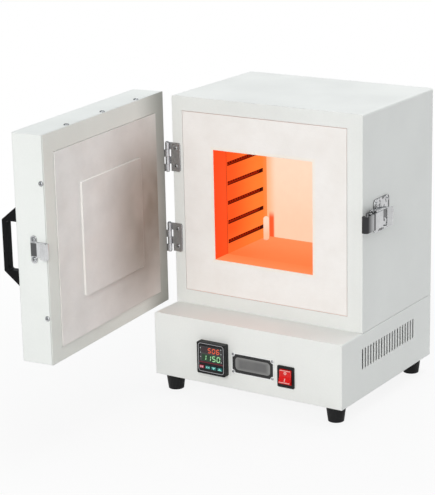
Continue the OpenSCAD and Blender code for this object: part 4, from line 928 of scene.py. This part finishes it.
def add_pillow(shape, w, h, r, rise, place):
    """A low crowned pad: rings of a rounded rectangle that shrink as they rise."""
    rings = []
    for inset, z in ((0.0, 0.0), (0.0, 0.25), (0.25, 0.55), (0.8, 0.8), (2.0, 0.95), (4.0, 1.0)):
        size = round_rect(w - 2 * inset, h - 2 * inset, max(0.6, r - inset * 0.8), 8)
        rings.append([(x * MM, y * MM, z * rise * MM) for x, y in size])
    n = len(rings[0])
    points = [p for ring in rings for p in ring]
    faces = [tuple(range(n))[::-1], tuple(range(len(points) - n, len(points)))]
    for k in range(len(rings) - 1):
        for i in range(n):
            j = (i + 1) % n
            faces.append((k * n + i, k * n + j, (k + 1) * n + j, (k + 1) * n + i))
    shape.add(points, faces, place)


pane = Shape()
add_pillow(pane, 60.4, 20.8, 4.2, 0.8, facing(Vector((PLATE_X, PLATE_SUNK_Y, PLATE_Z)), FRONT))
finish_piece("plate_window", pane, PLATE_WINDOW, "cabinet")


# Rocker: marks and grip ridges on its two faces, which lie in a shallow V; the ridges are pale as painted
# highlights
AXIS = Vector((0.0676, -0.1365, 0.0592))
HALF_TRAVEL = math.radians(10)
APEX = 4.6
RIDGE_PITCH = 0.0025
RIDGE_T = 0.0002


def rocker_place(height, tilt_sign):
    """Matrix on the rocker's upper (+1) or lower (-1) face, at a height from its apex."""
    y = -APEX - abs(height) * math.tan(HALF_TRAVEL)
    normal = Vector((0, -math.cos(HALF_TRAVEL), -tilt_sign * math.sin(HALF_TRAVEL)))
    rest = Matrix.Rotation(-HALF_TRAVEL, 3, "X")
    point = AXIS + rest @ (Vector((0, y, height)) * MM)
    return facing(point, rest @ normal)


marks = Shape()
marks.ring(in_mm(circle(2.3, 28)), in_mm(circle(1.0, 28)), PRINT_T, rocker_place(5.2, 1))
marks.prism(in_mm(round_rect(1.5, 4.4, 0.3, 3)), PRINT_T, rocker_place(-4.4, -1))
finish_piece("rocker_marks", marks, PRINT_WHITE, "rocker")
# Grip ridges in the pale print colour, as painted highlights
ridges = Shape()
for height, sign in ((8.9, 1), (-8.4, -1)):
    for step in range(-3, 4):
        place = rocker_place(height, sign) @ Matrix.Translation((step * RIDGE_PITCH, 0, 0))
        ridges.prism(in_mm(round_rect(2.2, 1.2, 0.3, 2)), RIDGE_T, place)
finish_piece("rocker_ridges_painted_highlight", ridges, PRINT_WHITE, "rocker")


# Floor: white to the camera and in reflections, all white far off, and near the object it keeps the shadow
def floor_look():
    mat = bpy.data.materials.new("studio floor")
    mat.use_nodes = True
    tree = mat.node_tree
    tree.nodes.clear()
    out = tree.nodes.new("ShaderNodeOutputMaterial")
    cloth = tree.nodes.new("ShaderNodeBsdfDiffuse")
    cloth.inputs["Color"].default_value = (0.7, 0.7, 0.7, 1)
    lamp = tree.nodes.new("ShaderNodeEmission")
    lamp.inputs["Color"].default_value = (1, 1, 1, 1)
    rays = tree.nodes.new("ShaderNodeLightPath")
    most = None
    for key in ("Is Camera Ray", "Is Glossy Ray", "Is Transmission Ray"):
        if most is None:
            most = rays.outputs[key]
            continue
        item = tree.nodes.new("ShaderNodeMath")
        item.operation = "MAXIMUM"
        tree.links.new(most, item.inputs[0])
        tree.links.new(rays.outputs[key], item.inputs[1])
        most = item.outputs[0]
    share = tree.nodes.new("ShaderNodeMath")
    share.operation = "MULTIPLY"
    tree.links.new(most, share.inputs[0])
    where = tree.nodes.new("ShaderNodeTexCoord")
    reach = tree.nodes.new("ShaderNodeVectorMath")
    reach.operation = "LENGTH"
    tree.links.new(where.outputs["Object"], reach.inputs[0])
    far = tree.nodes.new("ShaderNodeMapRange")
    tree.links.new(reach.outputs["Value"], far.inputs["Value"])
    for key, value in (("From Min", 0.4), ("From Max", 0.9), ("To Min", 0.88), ("To Max", 1.0)):
        far.inputs[key].default_value = value
    tree.links.new(far.outputs[0], share.inputs[1])
    mix = tree.nodes.new("ShaderNodeMixShader")
    tree.links.new(share.outputs[0], mix.inputs[0])
    tree.links.new(cloth.outputs[0], mix.inputs[1])
    tree.links.new(lamp.outputs[0], mix.inputs[2])
    tree.links.new(mix.outputs[0], out.inputs["Surface"])
    return mat


floor_mesh = bpy.data.meshes.new("studio_floor")
floor_mesh.from_pydata([(-9, -9, 0), (9, -9, 0), (9, 9, 0), (-9, 9, 0)], [], [(0, 1, 2, 3)])
floor = bpy.data.objects.new("studio_floor", floor_mesh)
bpy.context.scene.collection.objects.link(floor)
floor_mesh.materials.append(floor_look())

# World: white where it is seen directly, and an even cool grey room for everything else
world = bpy.data.worlds.new("studio")
bpy.context.scene.world = world
world.use_nodes = True
tree = world.node_tree
tree.nodes.clear()
out = tree.nodes.new("ShaderNodeOutputWorld")
seen = tree.nodes.new("ShaderNodeBackground")
seen.inputs["Color"].default_value = (1, 1, 1, 1)
room = tree.nodes.new("ShaderNodeBackground")
room.inputs["Color"].default_value = (0.408, 0.428, 0.442, 1)
rays = tree.nodes.new("ShaderNodeLightPath")
both = tree.nodes.new("ShaderNodeMixShader")
tree.links.new(rays.outputs["Is Camera Ray"], both.inputs[0])
tree.links.new(room.outputs[0], both.inputs[1])
tree.links.new(seen.outputs[0], both.inputs[2])
tree.links.new(both.outputs[0], out.inputs["Surface"])


def area_light(name, point, target, size, watts, colour=(1, 1, 1)):
    light = bpy.data.lights.new(name, "AREA")
    light.shape = "RECTANGLE"
    light.size, light.size_y = size
    light.energy = watts
    light.color = colour
    obj = bpy.data.objects.new(name, light)
    obj.matrix_world = facing(Vector(point), Vector(point) - Vector(target))
    bpy.context.scene.collection.objects.link(obj)


area_light("key", (0.95, -3.5, 1.6), (0, -0.1, 0.25), (1.8, 1.8), 68, (1, 0.99, 0.965))
area_light("top", (0.1, 0.9, 2.9), (0, 0, 0.3), (1.8, 1.8), 40)
area_light("right", (1.2, 1.2, 1.2), (0.15, 0.1, 0.3), (0.6, 0.6), 2)

bpy.context.scene.view_settings.view_transform = "Standard"

# Camera at the photograph's angle, solved on the casing, base and door together
FOCAL_PIXELS = 1774.2
PHOTO_HEIGHT = 495
camera_data = bpy.data.cameras.new("camera")
camera_data.sensor_width = 36.0
camera_data.sensor_fit = "AUTO"
camera_data.lens = FOCAL_PIXELS * camera_data.sensor_width / PHOTO_HEIGHT
camera = bpy.data.objects.new("camera", camera_data)
right = Vector((0.839941, 0.542267, -0.021105)).normalized()
forward = Vector((-0.5266, 0.805043, -0.273128)).normalized()
up = right.cross(forward).normalized()
camera.matrix_world = Matrix.Translation((1.28669, -2.17196, 0.92495)) @ Matrix(
    (right, up, -forward)).transposed().to_4x4()
bpy.context.scene.collection.objects.link(camera)
bpy.context.scene.camera = camera
